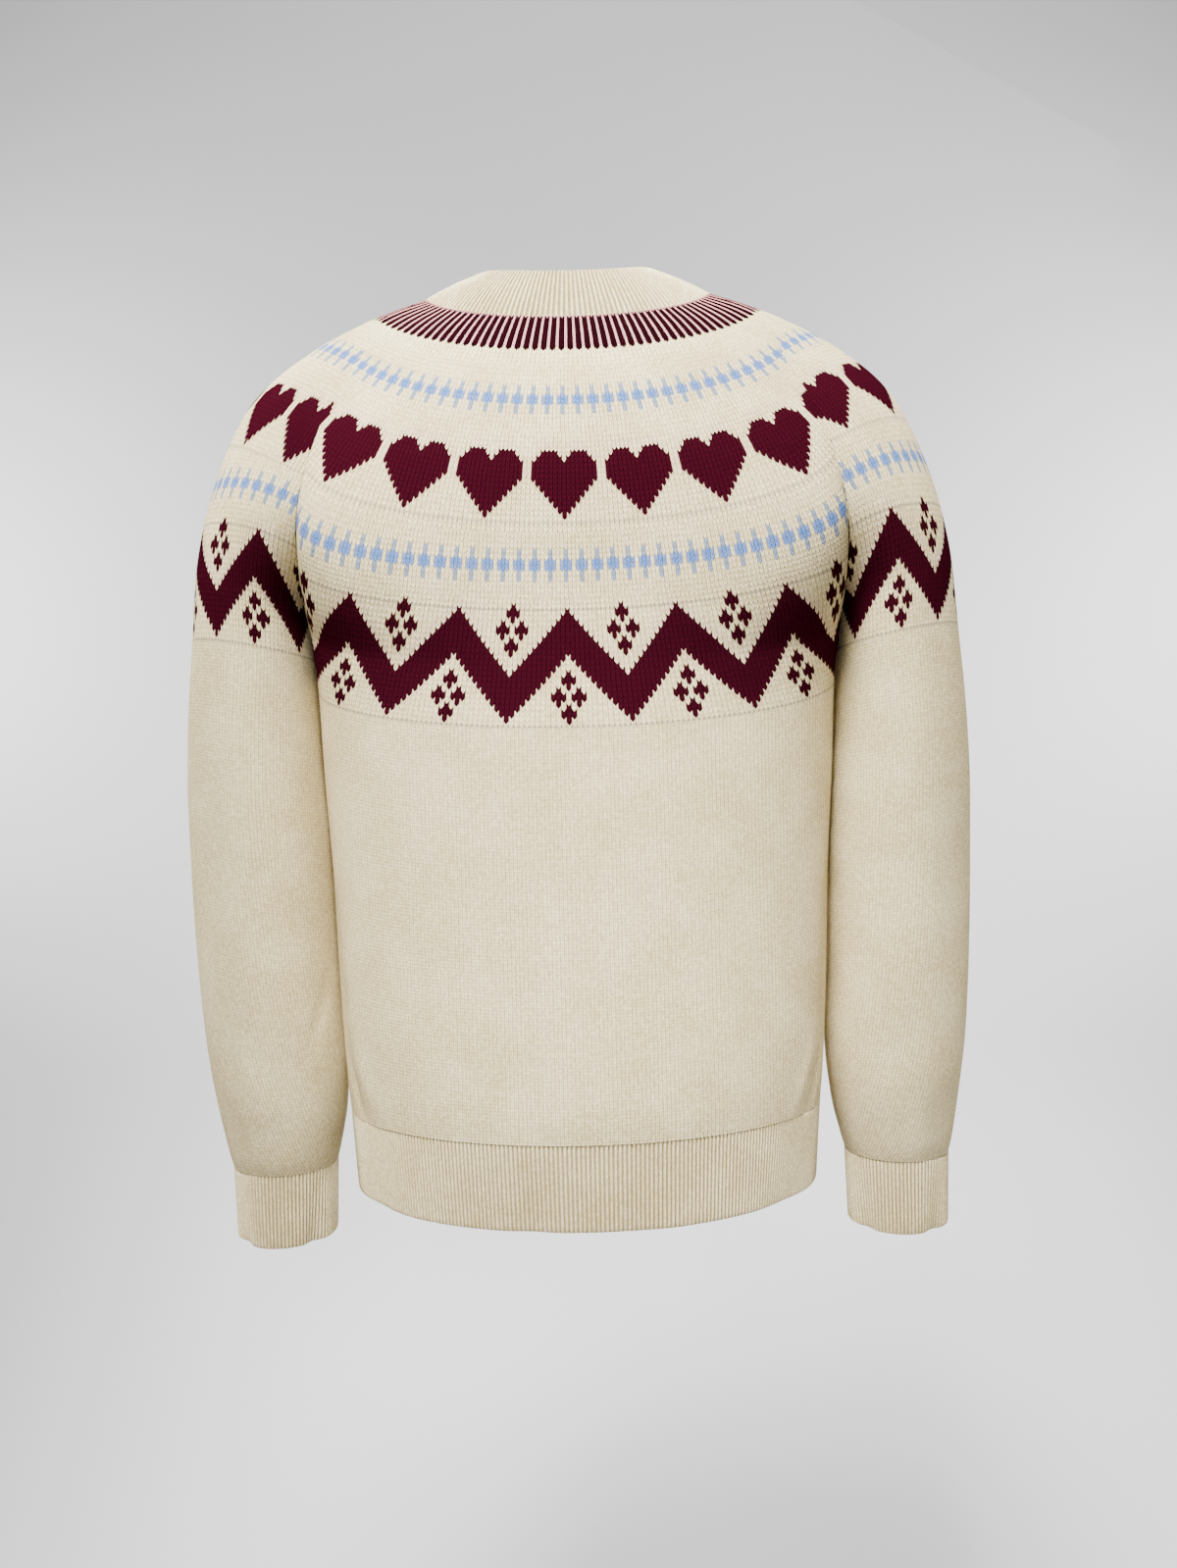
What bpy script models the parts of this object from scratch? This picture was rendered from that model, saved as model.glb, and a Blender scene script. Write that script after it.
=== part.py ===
"""Crewneck raglan sweater in its worn, hollow form.

Metres, +Z up. The back faces -Y and the front +Y, so +X is the wearer's right. The
origin is the middle of the neck at the height of the shoulders. Each knitted row of
the yoke, here a course, runs round the neck through the back, a sleeve, the front and
the other sleeve. Course 0 lies at the neckband and UNDERARM where the sleeves part
from the body. Each panel is a wall whose outer face follows the courses.
"""
import bpy
import numpy as np

WALL = 0.0022                 # plain knitting
RIB_WALL = 0.0026             # hem and cuffs, at the crest of a rib
BAND_WALL = 0.0032            # doubled neckband, at the crest of a rib
RIB_DEPTH = 0.0006            # crest to trough
SEAM_GAP = 0.0003             # between sewn edges
CREASE_GAP = 0.0012           # between body and sleeve, deep in the underarm
UNDERARM = 70.0               # course where the raglan seams end
CREASE_START = 48.0           # course where the raglan seam turns into a crease
LEAST_SQUARENESS = 0.6        # of a seam's plane to the wall that it cuts
SEAM_SIDE = 0.97              # share of a row at which the seam's two sides are read

HEM_HEIGHT = 0.0565
HEM_DRAW = 0.0040             # how much the hem draws in from its top to its edge
HEM_RIBS = 181                # on each half
HEM_INNER_STEPS = 24          # flats of the plain inside
CUFF_HEIGHT = 0.0520
CUFF_DRAW = 0.0015
CUFF_RIBS = 84
CUFF_INNER_STEPS = 28
BAND_RIBS = 128
BAND_BULGE = 0.0015
SWAY = 0.0030                 # how far both cuffs hang towards the wearer's right
SWAY_CURVE = 3                # power by which the sway grows down the sleeve

BAND_TOP_HALF_WIDTH = 0.0614
BAND_TOP_BACK = (-0.0600, -0.0060)     # y and z at the centre back
BAND_TOP_FRONT = (0.0715, -0.0450)     # y and z at the centre front
BAND_TOP_SIDE_Z = 0.0160
BAND_TOP_CURVE = 1.5                   # power by which the top edge dips to back and front
BELOW_NECK = 1.5                       # course that shows which way the yoke leaves the neck
NECK_SHARES = 81                       # points read on each piece's neck edge
NECK_POINTS = 720                      # points round the neck seam

CREAM = (0.76, 0.70, 0.58, 1.0)
RIB_CREAM = (0.72, 0.66, 0.55, 1.0)
WOOL_ROUGHNESS = 0.9
SHARP_ANGLE = np.radians(50.0)

BACK, FRONT = -1.0, 1.0


def table(names, rows):
    """Return the columns of a short table as arrays, by name."""
    return dict(zip(names.split(), np.array(rows, dtype=float).T))


# Courses of the yoke. Y and z on the centre back and centre front lines, x and z of
# the middle between the two raglan seams, the slope of a sleeve course towards the
# front, the sleeve's middle y, half depth and half opening angle in degrees, x and z
# of the line over the shoulder, and the half opening angle of a body course.
YOKE = table(
    "course back_y back_z front_y front_z seam_x seam_z slope"
    " arm_y arm_depth arm_angle top_x top_z body_angle",
    [
        (0.0, -0.0720, -0.0425, 0.0860, -0.0800, 0.1000, -0.0100, 0.10,
         0.000, 0.0726, 16.0, 0.1030, -0.0040, 74.0),
        (9.0, -0.0870, -0.0700, 0.1000, -0.1080, 0.1300, -0.0330, 0.10,
         0.000, 0.0655, 34.0, 0.1430, -0.0200, 66.0),
        (20.5, -0.1040, -0.1090, 0.1120, -0.1460, 0.1450, -0.0660, 0.08,
         0.000, 0.0650, 52.0, 0.1810, -0.0380, 66.0),
        (37.0, -0.1135, -0.1645, 0.1215, -0.2020, 0.1680, -0.1150, 0.06,
         0.000, 0.0694, 74.0, 0.2290, -0.0780, 72.0),
        (52.0, -0.1150, -0.2160, 0.1255, -0.2530, 0.1840, -0.1700, 0.04,
         0.000, 0.0710, 100.0, 0.2545, -0.1320, 82.0),
        (62.0, -0.1150, -0.2510, 0.1260, -0.2870, 0.1890, -0.2130, 0.02,
         0.000, 0.0670, 142.0, 0.2650, -0.1720, 88.0),
        (70.0, -0.1150, -0.2790, 0.1255, -0.3135, 0.1910, -0.2380, 0.00,
         0.000, 0.0640, 180.0, 0.2705, -0.2030, 90.0),
    ],
)

# Courses of the body below the underarm, down to the hem rib.
TORSO = table(
    "course back_y back_z front_y front_z side_x side_y side_z",
    [
        (70.0, -0.1150, -0.2790, 0.1255, -0.3135, 0.1910, 0.000, -0.2380),
        (81.0, -0.1155, -0.3180, 0.1240, -0.3500, 0.1865, 0.002, -0.2785),
        (97.0, -0.1160, -0.3740, 0.1190, -0.4000, 0.1835, 0.003, -0.3420),
        (113.0, -0.1160, -0.4300, 0.1130, -0.4490, 0.1795, 0.002, -0.4080),
        (129.0, -0.1170, -0.4870, 0.1090, -0.4970, 0.1765, 0.001, -0.4750),
        (146.0, -0.1190, -0.5460, 0.1075, -0.5480, 0.1725, 0.000, -0.5420),
        (156.0, -0.1180, -0.5820, 0.1050, -0.5820, 0.1690, 0.000, -0.5820),
    ],
)

# Courses of a sleeve below the underarm, down to the cuff: its middle y and half
# depth, its outer line and its inner line, where its own seam is.
ARM = table(
    "course arm_y arm_depth top_x top_z inner_x inner_z",
    [
        (70.0, 0.0000, 0.0640, 0.2705, -0.2030, 0.1910, -0.2380),
        (81.0, 0.0010, 0.0630, 0.2745, -0.2460, 0.1885, -0.2785),
        (97.0, 0.0020, 0.0620, 0.2800, -0.3050, 0.1852, -0.3380),
        (113.0, 0.0040, 0.0610, 0.2825, -0.3620, 0.1815, -0.3920),
        (129.0, 0.0060, 0.0590, 0.2820, -0.4200, 0.1795, -0.4440),
        (145.0, 0.0070, 0.0565, 0.2800, -0.4780, 0.1776, -0.4960),
        (161.0, 0.0080, 0.0525, 0.2765, -0.5330, 0.1752, -0.5460),
        (174.0, 0.0090, 0.0465, 0.2700, -0.5800, 0.1785, -0.5880),
        (183.0, 0.0100, 0.0415, 0.2645, -0.6140, 0.1842, -0.6160),
        (186.0, 0.0100, 0.0370, 0.2615, -0.6270, 0.1870, -0.6270),
    ],
)

# Soft hollows and swellings of the hanging sleeves. Share runs round a sleeve from
# its back edge, -1, over the outer line, 0, to its front edge, 1.
FOLDS = (
    {"side": -1, "course": 122, "courses": 30, "share": -0.34, "shares": 0.16, "rise": -0.0030},
    {"side": -1, "course": 124, "courses": 30, "share": -0.60, "shares": 0.16, "rise": 0.0014},
    {"side": -1, "course": 158, "courses": 9, "share": 0.52, "shares": 0.30, "rise": -0.0032},
    {"side": -1, "course": 171, "courses": 7, "share": -0.45, "shares": 0.28, "rise": 0.0022},
    {"side": 1, "course": 128, "courses": 28, "share": -0.30, "shares": 0.15, "rise": -0.0018},
    {"side": 1, "course": 156, "courses": 9, "share": 0.48, "shares": 0.30, "rise": -0.0034},
    {"side": 1, "course": 170, "courses": 7, "share": -0.50, "shares": 0.26, "rise": 0.0022},
)

YOKE_COURSES = (0.0, 4.5, 9.0, 14.5, 20.5, 28.5, 37.0, 45.0, 52.0, 57.0, 62.0, 66.0, 70.0)
TORSO_COURSES = (75.5, 81.0, 89.0, 97.0, 113.0, 129.0, 146.0, 156.0)
ARM_COURSES = (75.5, 81.0, 89.0, 97.0, 113.0, 129.0, 145.0, 153.0, 161.0, 174.0, 183.0, 186.0)
BODY_COLUMNS = 18
ARM_COLUMNS = 20


def unit(vectors):
    """Return vectors scaled to length 1."""
    vectors = np.asarray(vectors, dtype=float)
    return vectors / np.maximum(np.linalg.norm(vectors, axis=-1, keepdims=True), 1e-12)


def smooth(columns, name, course):
    """Return a column's value at a course, by a monotone cubic through its rows."""
    x, y = columns["course"], columns[name]
    step = np.diff(x)
    rise = np.diff(y) / step
    slope = np.concatenate(([rise[0]], np.zeros(len(x) - 2), [rise[-1]]))
    for i in range(1, len(x) - 1):
        if rise[i - 1] * rise[i] > 0:
            slope[i] = 2 * rise[i - 1] * rise[i] / (rise[i - 1] + rise[i])
    i = int(np.clip(np.searchsorted(x, course) - 1, 0, len(step) - 1))
    t = (course - x[i]) / step[i]
    return (
        (2 * t**3 - 3 * t**2 + 1) * y[i] + (3 * t**2 - 2 * t**3) * y[i + 1]
        + step[i] * ((t**3 - 2 * t**2 + t) * slope[i] + (t**3 - t**2) * slope[i + 1])
    )


def joined(upper, lower, name):
    """Return one table of a column that runs on past the underarm."""
    above = upper["course"] < lower["course"][0]
    return {
        "course": np.concatenate((upper["course"][above], lower["course"])),
        name: np.concatenate((upper[name][above], lower[name])),
    }


def centre_line(course, face):
    """Return the point of the centre back or centre front line at a course."""
    side = "back" if face == BACK else "front"
    y, z = (smooth(joined(YOKE, TORSO, f"{side}_{axis}"), f"{side}_{axis}", course) for axis in "yz")
    return np.array((0.0, y, z))


def raglan_middle(course):
    """Return the point midway between a sleeve's two edges at a course."""
    if course <= UNDERARM:
        return np.array([smooth(YOKE, name, course) for name in ("seam_x", "arm_y", "seam_z")])
    return np.array([smooth(ARM, name, course) for name in ("inner_x", "arm_y", "inner_z")])


def sleeve_reach(course):
    """Return the vector from a sleeve course's middle to its foremost point."""
    depth = smooth(joined(YOKE, ARM, "arm_depth"), "arm_depth", course)
    slope = smooth(YOKE, "slope", course) if course < UNDERARM else 0.0
    return depth * np.array((0.0, 1.0, -slope))


def sleeve_angle(course):
    """Return a sleeve course's half opening angle, a full half turn below the underarm."""
    return np.radians(smooth(YOKE, "arm_angle", course)) if course < UNDERARM else np.pi


def height(angles, end):
    """Return the height of arc points over their chord: 1 in the middle, 0 at the ends."""
    return ((np.cos(angles) - np.cos(end)) / (1.0 - np.cos(end)))[:, None]


def sleeve_row(course, shares):
    """Return the points of a right sleeve's course, from its back edge to its front edge."""
    end = sleeve_angle(course)
    angles = end * np.asarray(shares)
    middle = raglan_middle(course)
    top = np.array((
        smooth(joined(YOKE, ARM, "top_x"), "top_x", course), middle[1],
        smooth(joined(YOKE, ARM, "top_z"), "top_z", course),
    ))
    return middle + np.sin(angles)[:, None] * sleeve_reach(course) + height(angles, end) * (top - middle)


def body_edge(course, face):
    """Return the point where a body course meets the raglan seam or the side seam."""
    if course <= UNDERARM:
        return raglan_middle(course) + face * np.sin(sleeve_angle(course)) * sleeve_reach(course)
    return np.array([smooth(TORSO, name, course) for name in ("side_x", "side_y", "side_z")])


def body_row(course, shares, face):
    """Return the points of a back or front course, from its left edge to its right edge."""
    end = np.radians(smooth(YOKE, "body_angle", course)) if course < UNDERARM else np.pi / 2
    angles = end * np.asarray(shares)
    edge, middle = body_edge(course, face), centre_line(course, face)
    points = np.array((0.0, edge[1], edge[2])) + height(angles, end) * (middle - edge * (0, 1, 1))
    points[:, 0] = edge[0] * np.sin(angles) / np.sin(end)
    return points


def fold_rise(side, course, shares):
    """Return how far the folds lift a sleeve's points off its plain shape."""
    rise = np.zeros(len(shares))
    for fold in FOLDS:
        if fold["side"] == side:
            along = (course - fold["course"]) / fold["courses"]
            around = (np.asarray(shares) - fold["share"]) / fold["shares"]
            rise += fold["rise"] * np.exp(-along**2 - around**2)
    return rise


def swayed(points):
    """Return sleeve points moved sideways as the sleeves hang, more towards the cuffs."""
    start, end = ARM["inner_z"][0], ARM["inner_z"][-1]
    share = np.clip((points[..., 2] - start) / (end - start), 0.0, 1.0)
    moved = points.copy()
    moved[..., 0] += SWAY * share**SWAY_CURVE
    return moved


def grid_normals(grid, outward):
    """Return a grid's unit normals, on the side that outward gives as 1 or -1."""
    return outward * unit(np.cross(np.gradient(grid, axis=1), np.gradient(grid, axis=0)))


def wall_direction(normal, partings):
    """Return the way into the wall at an edge point, per metre of its thickness.

    It lies in the plane in which the neighbouring piece is met, given by the plane's
    normal. In a deep crease, where the two pieces lie back to back, it stays square.
    """
    way = np.array(normal)
    for parting in partings:
        way = way - way.dot(parting) * parting
    if way.dot(normal) < LEAST_SQUARENESS:
        return normal
    return way / way.dot(normal)


def wall_mesh(grid, outward, partings):
    """Return points and triangles of a wall under a grid of outer points.

    partings maps a grid place to a list of (unit vector into the piece, gap share).
    """
    rows, columns = grid.shape[:2]
    normals = grid_normals(grid, outward)
    outer, inner = grid.copy(), grid - WALL * normals
    for (i, j), planes in partings.items():
        shift = sum(gap * plane for plane, gap in planes)
        outer[i, j] = grid[i, j] + shift
        inner[i, j] = outer[i, j] - WALL * wall_direction(normals[i, j], [plane for plane, _ in planes])
    points = np.concatenate((outer.reshape(-1, 3), inner.reshape(-1, 3)))
    index = np.arange(rows * columns).reshape(rows, columns)
    under = index + rows * columns
    faces = []
    for i in range(rows - 1):
        for j in range(columns - 1):
            a, b, c, d = index[i, j], index[i, j + 1], index[i + 1, j + 1], index[i + 1, j]
            faces += [(a, b, c), (a, c, d)]
            a, b, c, d = under[i, j], under[i, j + 1], under[i + 1, j + 1], under[i + 1, j]
            faces += [(a, c, b), (a, d, c)]
    rim = np.concatenate((index[0, :-1], index[:-1, -1], index[-1, :0:-1], index[:0:-1, 0]))
    for a, b in zip(rim, np.roll(rim, -1)):
        c, d = a + rows * columns, b + rows * columns
        faces += [(a, c, d), (a, d, b)]
    return points, faces


def bridge(first, second, closed):
    """Return triangles between two rings of point numbers that may differ in length."""
    if closed:
        first, second = np.append(first, first[0]), np.append(second, second[0])
    faces, i, j = [], 0, 0
    last_i, last_j = len(first) - 1, len(second) - 1
    while i < last_i or j < last_j:
        if j == last_j or (i < last_i and (i + 1) * last_j <= (j + 1) * last_i):
            faces.append((first[i], first[i + 1], second[j]))
            i += 1
        else:
            faces.append((first[i], second[j + 1], second[j]))
            j += 1
    return faces


def rib_mesh(outer, inner, closed):
    """Return points and triangles of a ribbed band over a plain, coarser inside.

    outer and inner hold rings of points, from one edge of the band to the other.
    """
    index = np.arange(outer.shape[0] * outer.shape[1]).reshape(outer.shape[:2])
    under = index.size + np.arange(inner.shape[0] * inner.shape[1]).reshape(inner.shape[:2])
    faces = []
    for ring in range(outer.shape[0] - 1):
        faces += bridge(index[ring], index[ring + 1], closed)
    for ring in range(inner.shape[0] - 1):
        faces += bridge(under[ring + 1], under[ring], closed)
    faces += bridge(under[0], index[0], closed)
    faces += bridge(index[-1], under[-1], closed)
    if not closed:
        for end, turn in ((0, 1), (-1, -1)):
            for ring in range(outer.shape[0] - 1):
                a, b = index[ring, end], index[ring + 1, end]
                c, d = under[ring + 1, end], under[ring, end]
                faces += [(a, b, c)[::turn], (a, c, d)[::turn]]
    points = np.concatenate((outer.reshape(-1, 3), inner.reshape(-1, 3)))
    return points, faces


def add_piece(name, points, faces, colour):
    """Add a closed mesh object with its own wool material, its faces pointing out."""
    faces = np.array(faces)
    corners = points[faces]
    volume = np.einsum("ij,ij->i", corners[:, 0], np.cross(corners[:, 1], corners[:, 2])).sum()
    if volume < 0:
        faces = faces[:, ::-1]
    mesh = bpy.data.meshes.new(name)
    mesh.from_pydata(points.tolist(), [], faces.tolist())
    mesh.shade_smooth()
    mesh.set_sharp_from_angle(angle=SHARP_ANGLE)
    wool = bpy.data.materials.new(f"{name}_wool")
    wool.use_nodes = True
    shader = wool.node_tree.nodes["Principled BSDF"]
    shader.inputs["Base Color"].default_value = colour
    shader.inputs["Roughness"].default_value = WOOL_ROUGHNESS
    mesh.materials.append(wool)
    piece = bpy.data.objects.new(name, mesh)
    bpy.context.scene.collection.objects.link(piece)


def loop_points(pieces):
    """Return points joined into one closed loop, each shared end kept once."""
    return np.concatenate([piece[:-1] for piece in pieces])


def resample(loop, count, *followers):
    """Return count points evenly spaced along a closed loop, and its followers there."""
    ring = np.vstack((loop, loop[:1]))
    length = np.concatenate(([0.0], np.cumsum(np.linalg.norm(np.diff(ring, axis=0), axis=1))))
    places = np.arange(count) / count * length[-1]
    sampled = []
    for values in (loop, *followers):
        values = np.vstack((values, values[:1]))
        sampled.append(np.stack([np.interp(places, length, values[:, k]) for k in range(3)], axis=1))
    return sampled


def neck_loops(count):
    """Return the neck seam, the band's top edge and the way down into the yoke.

    All three start at the centre back and go round by the wearer's right.
    """
    shares = np.linspace(-1.0, 1.0, NECK_SHARES)
    mirror = np.array((-1.0, 1.0, 1.0))
    loops = []
    for course in (0.0, BELOW_NECK):
        back = body_row(course, shares, BACK)
        front = body_row(course, shares, FRONT)[::-1]
        sleeve = sleeve_row(course, shares)
        middle = len(shares) // 2
        loops.append(loop_points((back[middle:], sleeve, front, sleeve[::-1] * mirror, back[:middle + 1])))
    down = unit(loops[1] - loops[0])
    turn = np.linspace(0.0, 2 * np.pi, NECK_POINTS + 1)[:-1]
    along = np.where(np.cos(turn) > 0, -BAND_TOP_BACK[0], BAND_TOP_FRONT[0]) * -np.cos(turn)
    drop = np.where(np.cos(turn) > 0, BAND_TOP_BACK[1], BAND_TOP_FRONT[1]) - BAND_TOP_SIDE_Z
    top = np.stack((
        BAND_TOP_HALF_WIDTH * np.sin(turn), along,
        BAND_TOP_SIDE_Z + drop * np.abs(np.cos(turn)) ** BAND_TOP_CURVE,
    ), axis=1)
    seam, down = resample(loops[0], count, down)
    return seam, resample(top, count)[0], unit(down)


def band_rings(count, ribbed):
    """Return the neckband's rings of outer points with their outward normals."""
    seam, top, down = neck_loops(count)
    up = unit(top - seam)
    parting = unit(up - down)
    along = unit(np.roll(seam, -1, axis=0) - np.roll(seam, 1, axis=0))
    outward = unit(np.cross(along, up))
    outward *= np.sign(np.einsum("ij,ij->i", outward, seam * (1, 1, 0)))[:, None]
    crest = (np.arange(count) % 2)[:, None] * RIB_DEPTH if ribbed else BAND_WALL
    start = seam + SEAM_GAP * parting
    rings = []
    for share in (0.0, 0.5, 1.0):
        bulge = BAND_BULGE * 4 * share * (1 - share) - crest
        way = outward if share else outward - np.einsum("ij,ij->i", outward, parting)[:, None] * parting
        rings.append(start + share * (top - start) + bulge * way)
    return np.array(rings)


def section_ring(centre, half_width, depth_back, depth_front, angles, inset):
    """Return points of a level oval section, moved in by inset along its normal."""
    depth = np.where(np.cos(angles) > 0, depth_back, depth_front)
    across = np.stack((half_width * np.sin(angles), -depth * np.cos(angles)), axis=1)
    normal = unit(np.stack((np.sin(angles) / half_width, -np.cos(angles) / depth), axis=1))
    flat = across - inset[:, None] * normal
    return np.column_stack((flat + centre[:2], np.full(len(angles), centre[2])))


def rib_band(centre, half_width, depths, start, turn, ribs, inner_steps, height_down, draw):
    """Return the mesh of a ribbed band that hangs from a level section, open at its seam."""
    clearance = SEAM_GAP / 2
    angles = {
        "outer": np.linspace(start, start + turn, 2 * ribs + 1),
        "inner": np.linspace(start, start + turn, inner_steps + 1),
    }
    rings = {"outer": [], "inner": []}
    for share in (0.0, 1.0):
        z = centre[2] - clearance - share * (height_down - clearance)
        for skin, places in angles.items():
            trough = RIB_DEPTH * (np.arange(len(places)) % 2)
            inset = trough if skin == "outer" else np.full(len(places), RIB_WALL)
            ring = section_ring(
                (centre[0], centre[1], z), half_width - draw * share,
                depths[0] - draw * share, depths[1] - draw * share, places, inset,
            )
            ring[0, 1] += clearance * np.sign(ring[1, 1] - ring[0, 1])
            ring[-1, 1] += clearance * np.sign(ring[-2, 1] - ring[-1, 1])
            rings[skin].append(ring)
    return rib_mesh(np.array(rings["outer"]), np.array(rings["inner"]), closed=False)


def seam_gap(course):
    """Return half the gap across a raglan seam, wider down in the crease."""
    share = np.clip((course - CREASE_START) / (UNDERARM - CREASE_START), 0.0, 1.0)
    return 0.5 * (SEAM_GAP + (CREASE_GAP - SEAM_GAP) * share)


def raglan_parting(course, face):
    """Return the unit vector across the raglan seam, from the sleeve into the body."""
    edge = body_edge(course, face)
    into_body = unit(body_row(course, [SEAM_SIDE], face)[0] - edge)
    into_sleeve = unit(sleeve_row(course, [face * SEAM_SIDE])[0] - edge)
    return unit(into_body - into_sleeve)


def neck_parting(point):
    """Return the unit vector across the neck seam at a point, into the yoke."""
    nearest = np.argmin(np.linalg.norm(NECK_SEAM - point, axis=1))
    return unit(NECK_DOWN[nearest] - unit(NECK_TOP[nearest] - NECK_SEAM[nearest]))


def edge_partings(courses, columns, grid, seam_planes):
    """Return the parting planes of a panel's edges: neck, seams and lower end."""
    partings = {}
    half_gap = SEAM_GAP / 2
    last = len(courses) - 1
    for j in range(columns + 1):
        partings[0, j] = [(neck_parting(grid[0, j]), half_gap)]
        partings[last, j] = [(np.array((0.0, 0.0, 1.0)), half_gap)]
    for j, face in ((0, BACK), (columns, FRONT)):
        for i, course in enumerate(courses):
            partings.setdefault((i, j), []).extend(seam_planes(course, j, face))
    return partings


def add_body_panel(name, face):
    """Add the back or the front: from the neck seam to the hem rib, seam to seam."""
    courses = YOKE_COURSES + TORSO_COURSES
    shares = np.linspace(-1.0, 1.0, BODY_COLUMNS + 1)
    grid = np.array([body_row(course, shares, face) for course in courses])

    def seam_planes(course, column, _):
        planes = []
        if course <= UNDERARM:
            mirror = np.array((1.0 if column else -1.0, 1.0, 1.0))
            planes.append((raglan_parting(course, face) * mirror, seam_gap(course)))
        if course >= UNDERARM:
            planes.append((np.array((0.0, face, 0.0)), SEAM_GAP / 2))
        return planes

    partings = edge_partings(courses, BODY_COLUMNS, grid, seam_planes)
    points, faces = wall_mesh(grid, face, partings)
    add_piece(name, points, faces, CREAM)


def add_sleeve(name, side):
    """Add a sleeve: from the neck seam over the shoulder to the cuff, edge to edge."""
    courses = YOKE_COURSES + ARM_COURSES
    shares = np.linspace(-1.0, 1.0, ARM_COLUMNS + 1)
    grid = np.array([sleeve_row(course, shares) for course in courses])
    rises = np.array([fold_rise(side, course, shares) for course in courses])
    grid += grid_normals(grid, -1.0) * rises[:, :, None]

    def seam_planes(course, _, face):
        planes = []
        if course <= UNDERARM:
            planes.append((-raglan_parting(course, face), seam_gap(course)))
        if course >= UNDERARM:
            planes.append((np.array((0.0, face, 0.0)), SEAM_GAP / 2))
        return planes

    partings = edge_partings(courses, ARM_COLUMNS, grid, seam_planes)
    points, faces = wall_mesh(grid, -1.0, partings)
    add_piece(name, swayed(points * (side, 1.0, 1.0)), faces, CREAM)


def add_hem_ribs():
    """Add the ribbed hem in two halves, parted at the side seams."""
    row = {name: TORSO[name][-1] for name in TORSO}
    depths = (row["side_y"] - row["back_y"], row["front_y"] - row["side_y"])
    centre = (0.0, row["side_y"], row["back_z"])
    for name, start in (("hem_rib_back", -np.pi / 2), ("hem_rib_front", np.pi / 2)):
        points, faces = rib_band(
            centre, row["side_x"], depths, start, np.pi, HEM_RIBS, HEM_INNER_STEPS, HEM_HEIGHT, HEM_DRAW
        )
        add_piece(name, points, faces, RIB_CREAM)


def add_cuffs():
    """Add the two ribbed cuffs, each parted where the sleeve's seam runs on."""
    row = {name: ARM[name][-1] for name in ARM}
    half_width = (row["top_x"] - row["inner_x"]) / 2
    depths = (row["arm_depth"], row["arm_depth"])
    for name, side in (("cuff_left", -1), ("cuff_right", 1)):
        centre = (side * (row["top_x"] + row["inner_x"]) / 2, row["arm_y"], row["top_z"])
        seam_angle = side * np.pi / 2 + np.pi
        points, faces = rib_band(
            centre, half_width, depths, seam_angle, 2 * np.pi,
            CUFF_RIBS, CUFF_INNER_STEPS, CUFF_HEIGHT, CUFF_DRAW,
        )
        add_piece(name, swayed(points), faces, RIB_CREAM)


def add_neckband():
    """Add the ribbed neckband, one closed ring over the neck seam."""
    outer = band_rings(2 * BAND_RIBS, ribbed=True)
    inner = band_rings(BAND_RIBS // 2, ribbed=False)
    points, faces = rib_mesh(outer, inner, closed=True)
    add_piece("neckband", points, faces, RIB_CREAM)


for scene_object in list(bpy.data.objects):
    bpy.data.objects.remove(scene_object)

NECK_SEAM, NECK_TOP, NECK_DOWN = neck_loops(NECK_POINTS)

add_body_panel("back_panel", BACK)
add_body_panel("front_panel", FRONT)
add_sleeve("sleeve_left", -1)
add_sleeve("sleeve_right", 1)
add_neckband()
add_hem_ribs()
add_cuffs()
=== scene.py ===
"""Looks of the crewneck sweater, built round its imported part.

Metres, +Z up, the back towards -Y and the front towards +Y. Each knitted row of the
yoke, here a course, runs round the neck through the back, a sleeve, the front and the
other sleeve. Course 0 lies at the neckband. A share runs along a row from the panel's
one edge, -1, over its middle line, 0, to its other edge, 1.
"""
import functools
import logging
import math
import operator
from collections.abc import Iterable, Sequence
from dataclasses import dataclass, field
from enum import Enum
from typing import Any

import bpy
import numpy as np
from mathutils import Matrix, Vector


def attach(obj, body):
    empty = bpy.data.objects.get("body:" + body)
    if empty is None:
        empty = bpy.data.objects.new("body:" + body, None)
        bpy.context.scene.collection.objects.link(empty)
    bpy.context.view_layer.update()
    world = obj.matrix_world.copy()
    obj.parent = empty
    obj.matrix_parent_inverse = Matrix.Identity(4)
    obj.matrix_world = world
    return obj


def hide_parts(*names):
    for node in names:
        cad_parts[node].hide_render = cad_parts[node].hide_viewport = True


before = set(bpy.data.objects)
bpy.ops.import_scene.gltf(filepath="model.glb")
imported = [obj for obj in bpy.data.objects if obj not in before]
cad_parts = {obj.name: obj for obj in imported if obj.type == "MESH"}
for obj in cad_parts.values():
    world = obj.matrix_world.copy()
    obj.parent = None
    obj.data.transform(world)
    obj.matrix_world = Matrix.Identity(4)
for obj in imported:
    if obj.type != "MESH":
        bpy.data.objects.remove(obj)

LOG = logging.getLogger("sweater")
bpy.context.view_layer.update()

Table = dict[str, np.ndarray]
Colour = tuple[float, float, float, float]
Point = tuple[float, float, float]
Lifts = tuple[tuple[float, float, float, float], ...]
Creases = tuple[tuple[float, float, float], ...]


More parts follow.
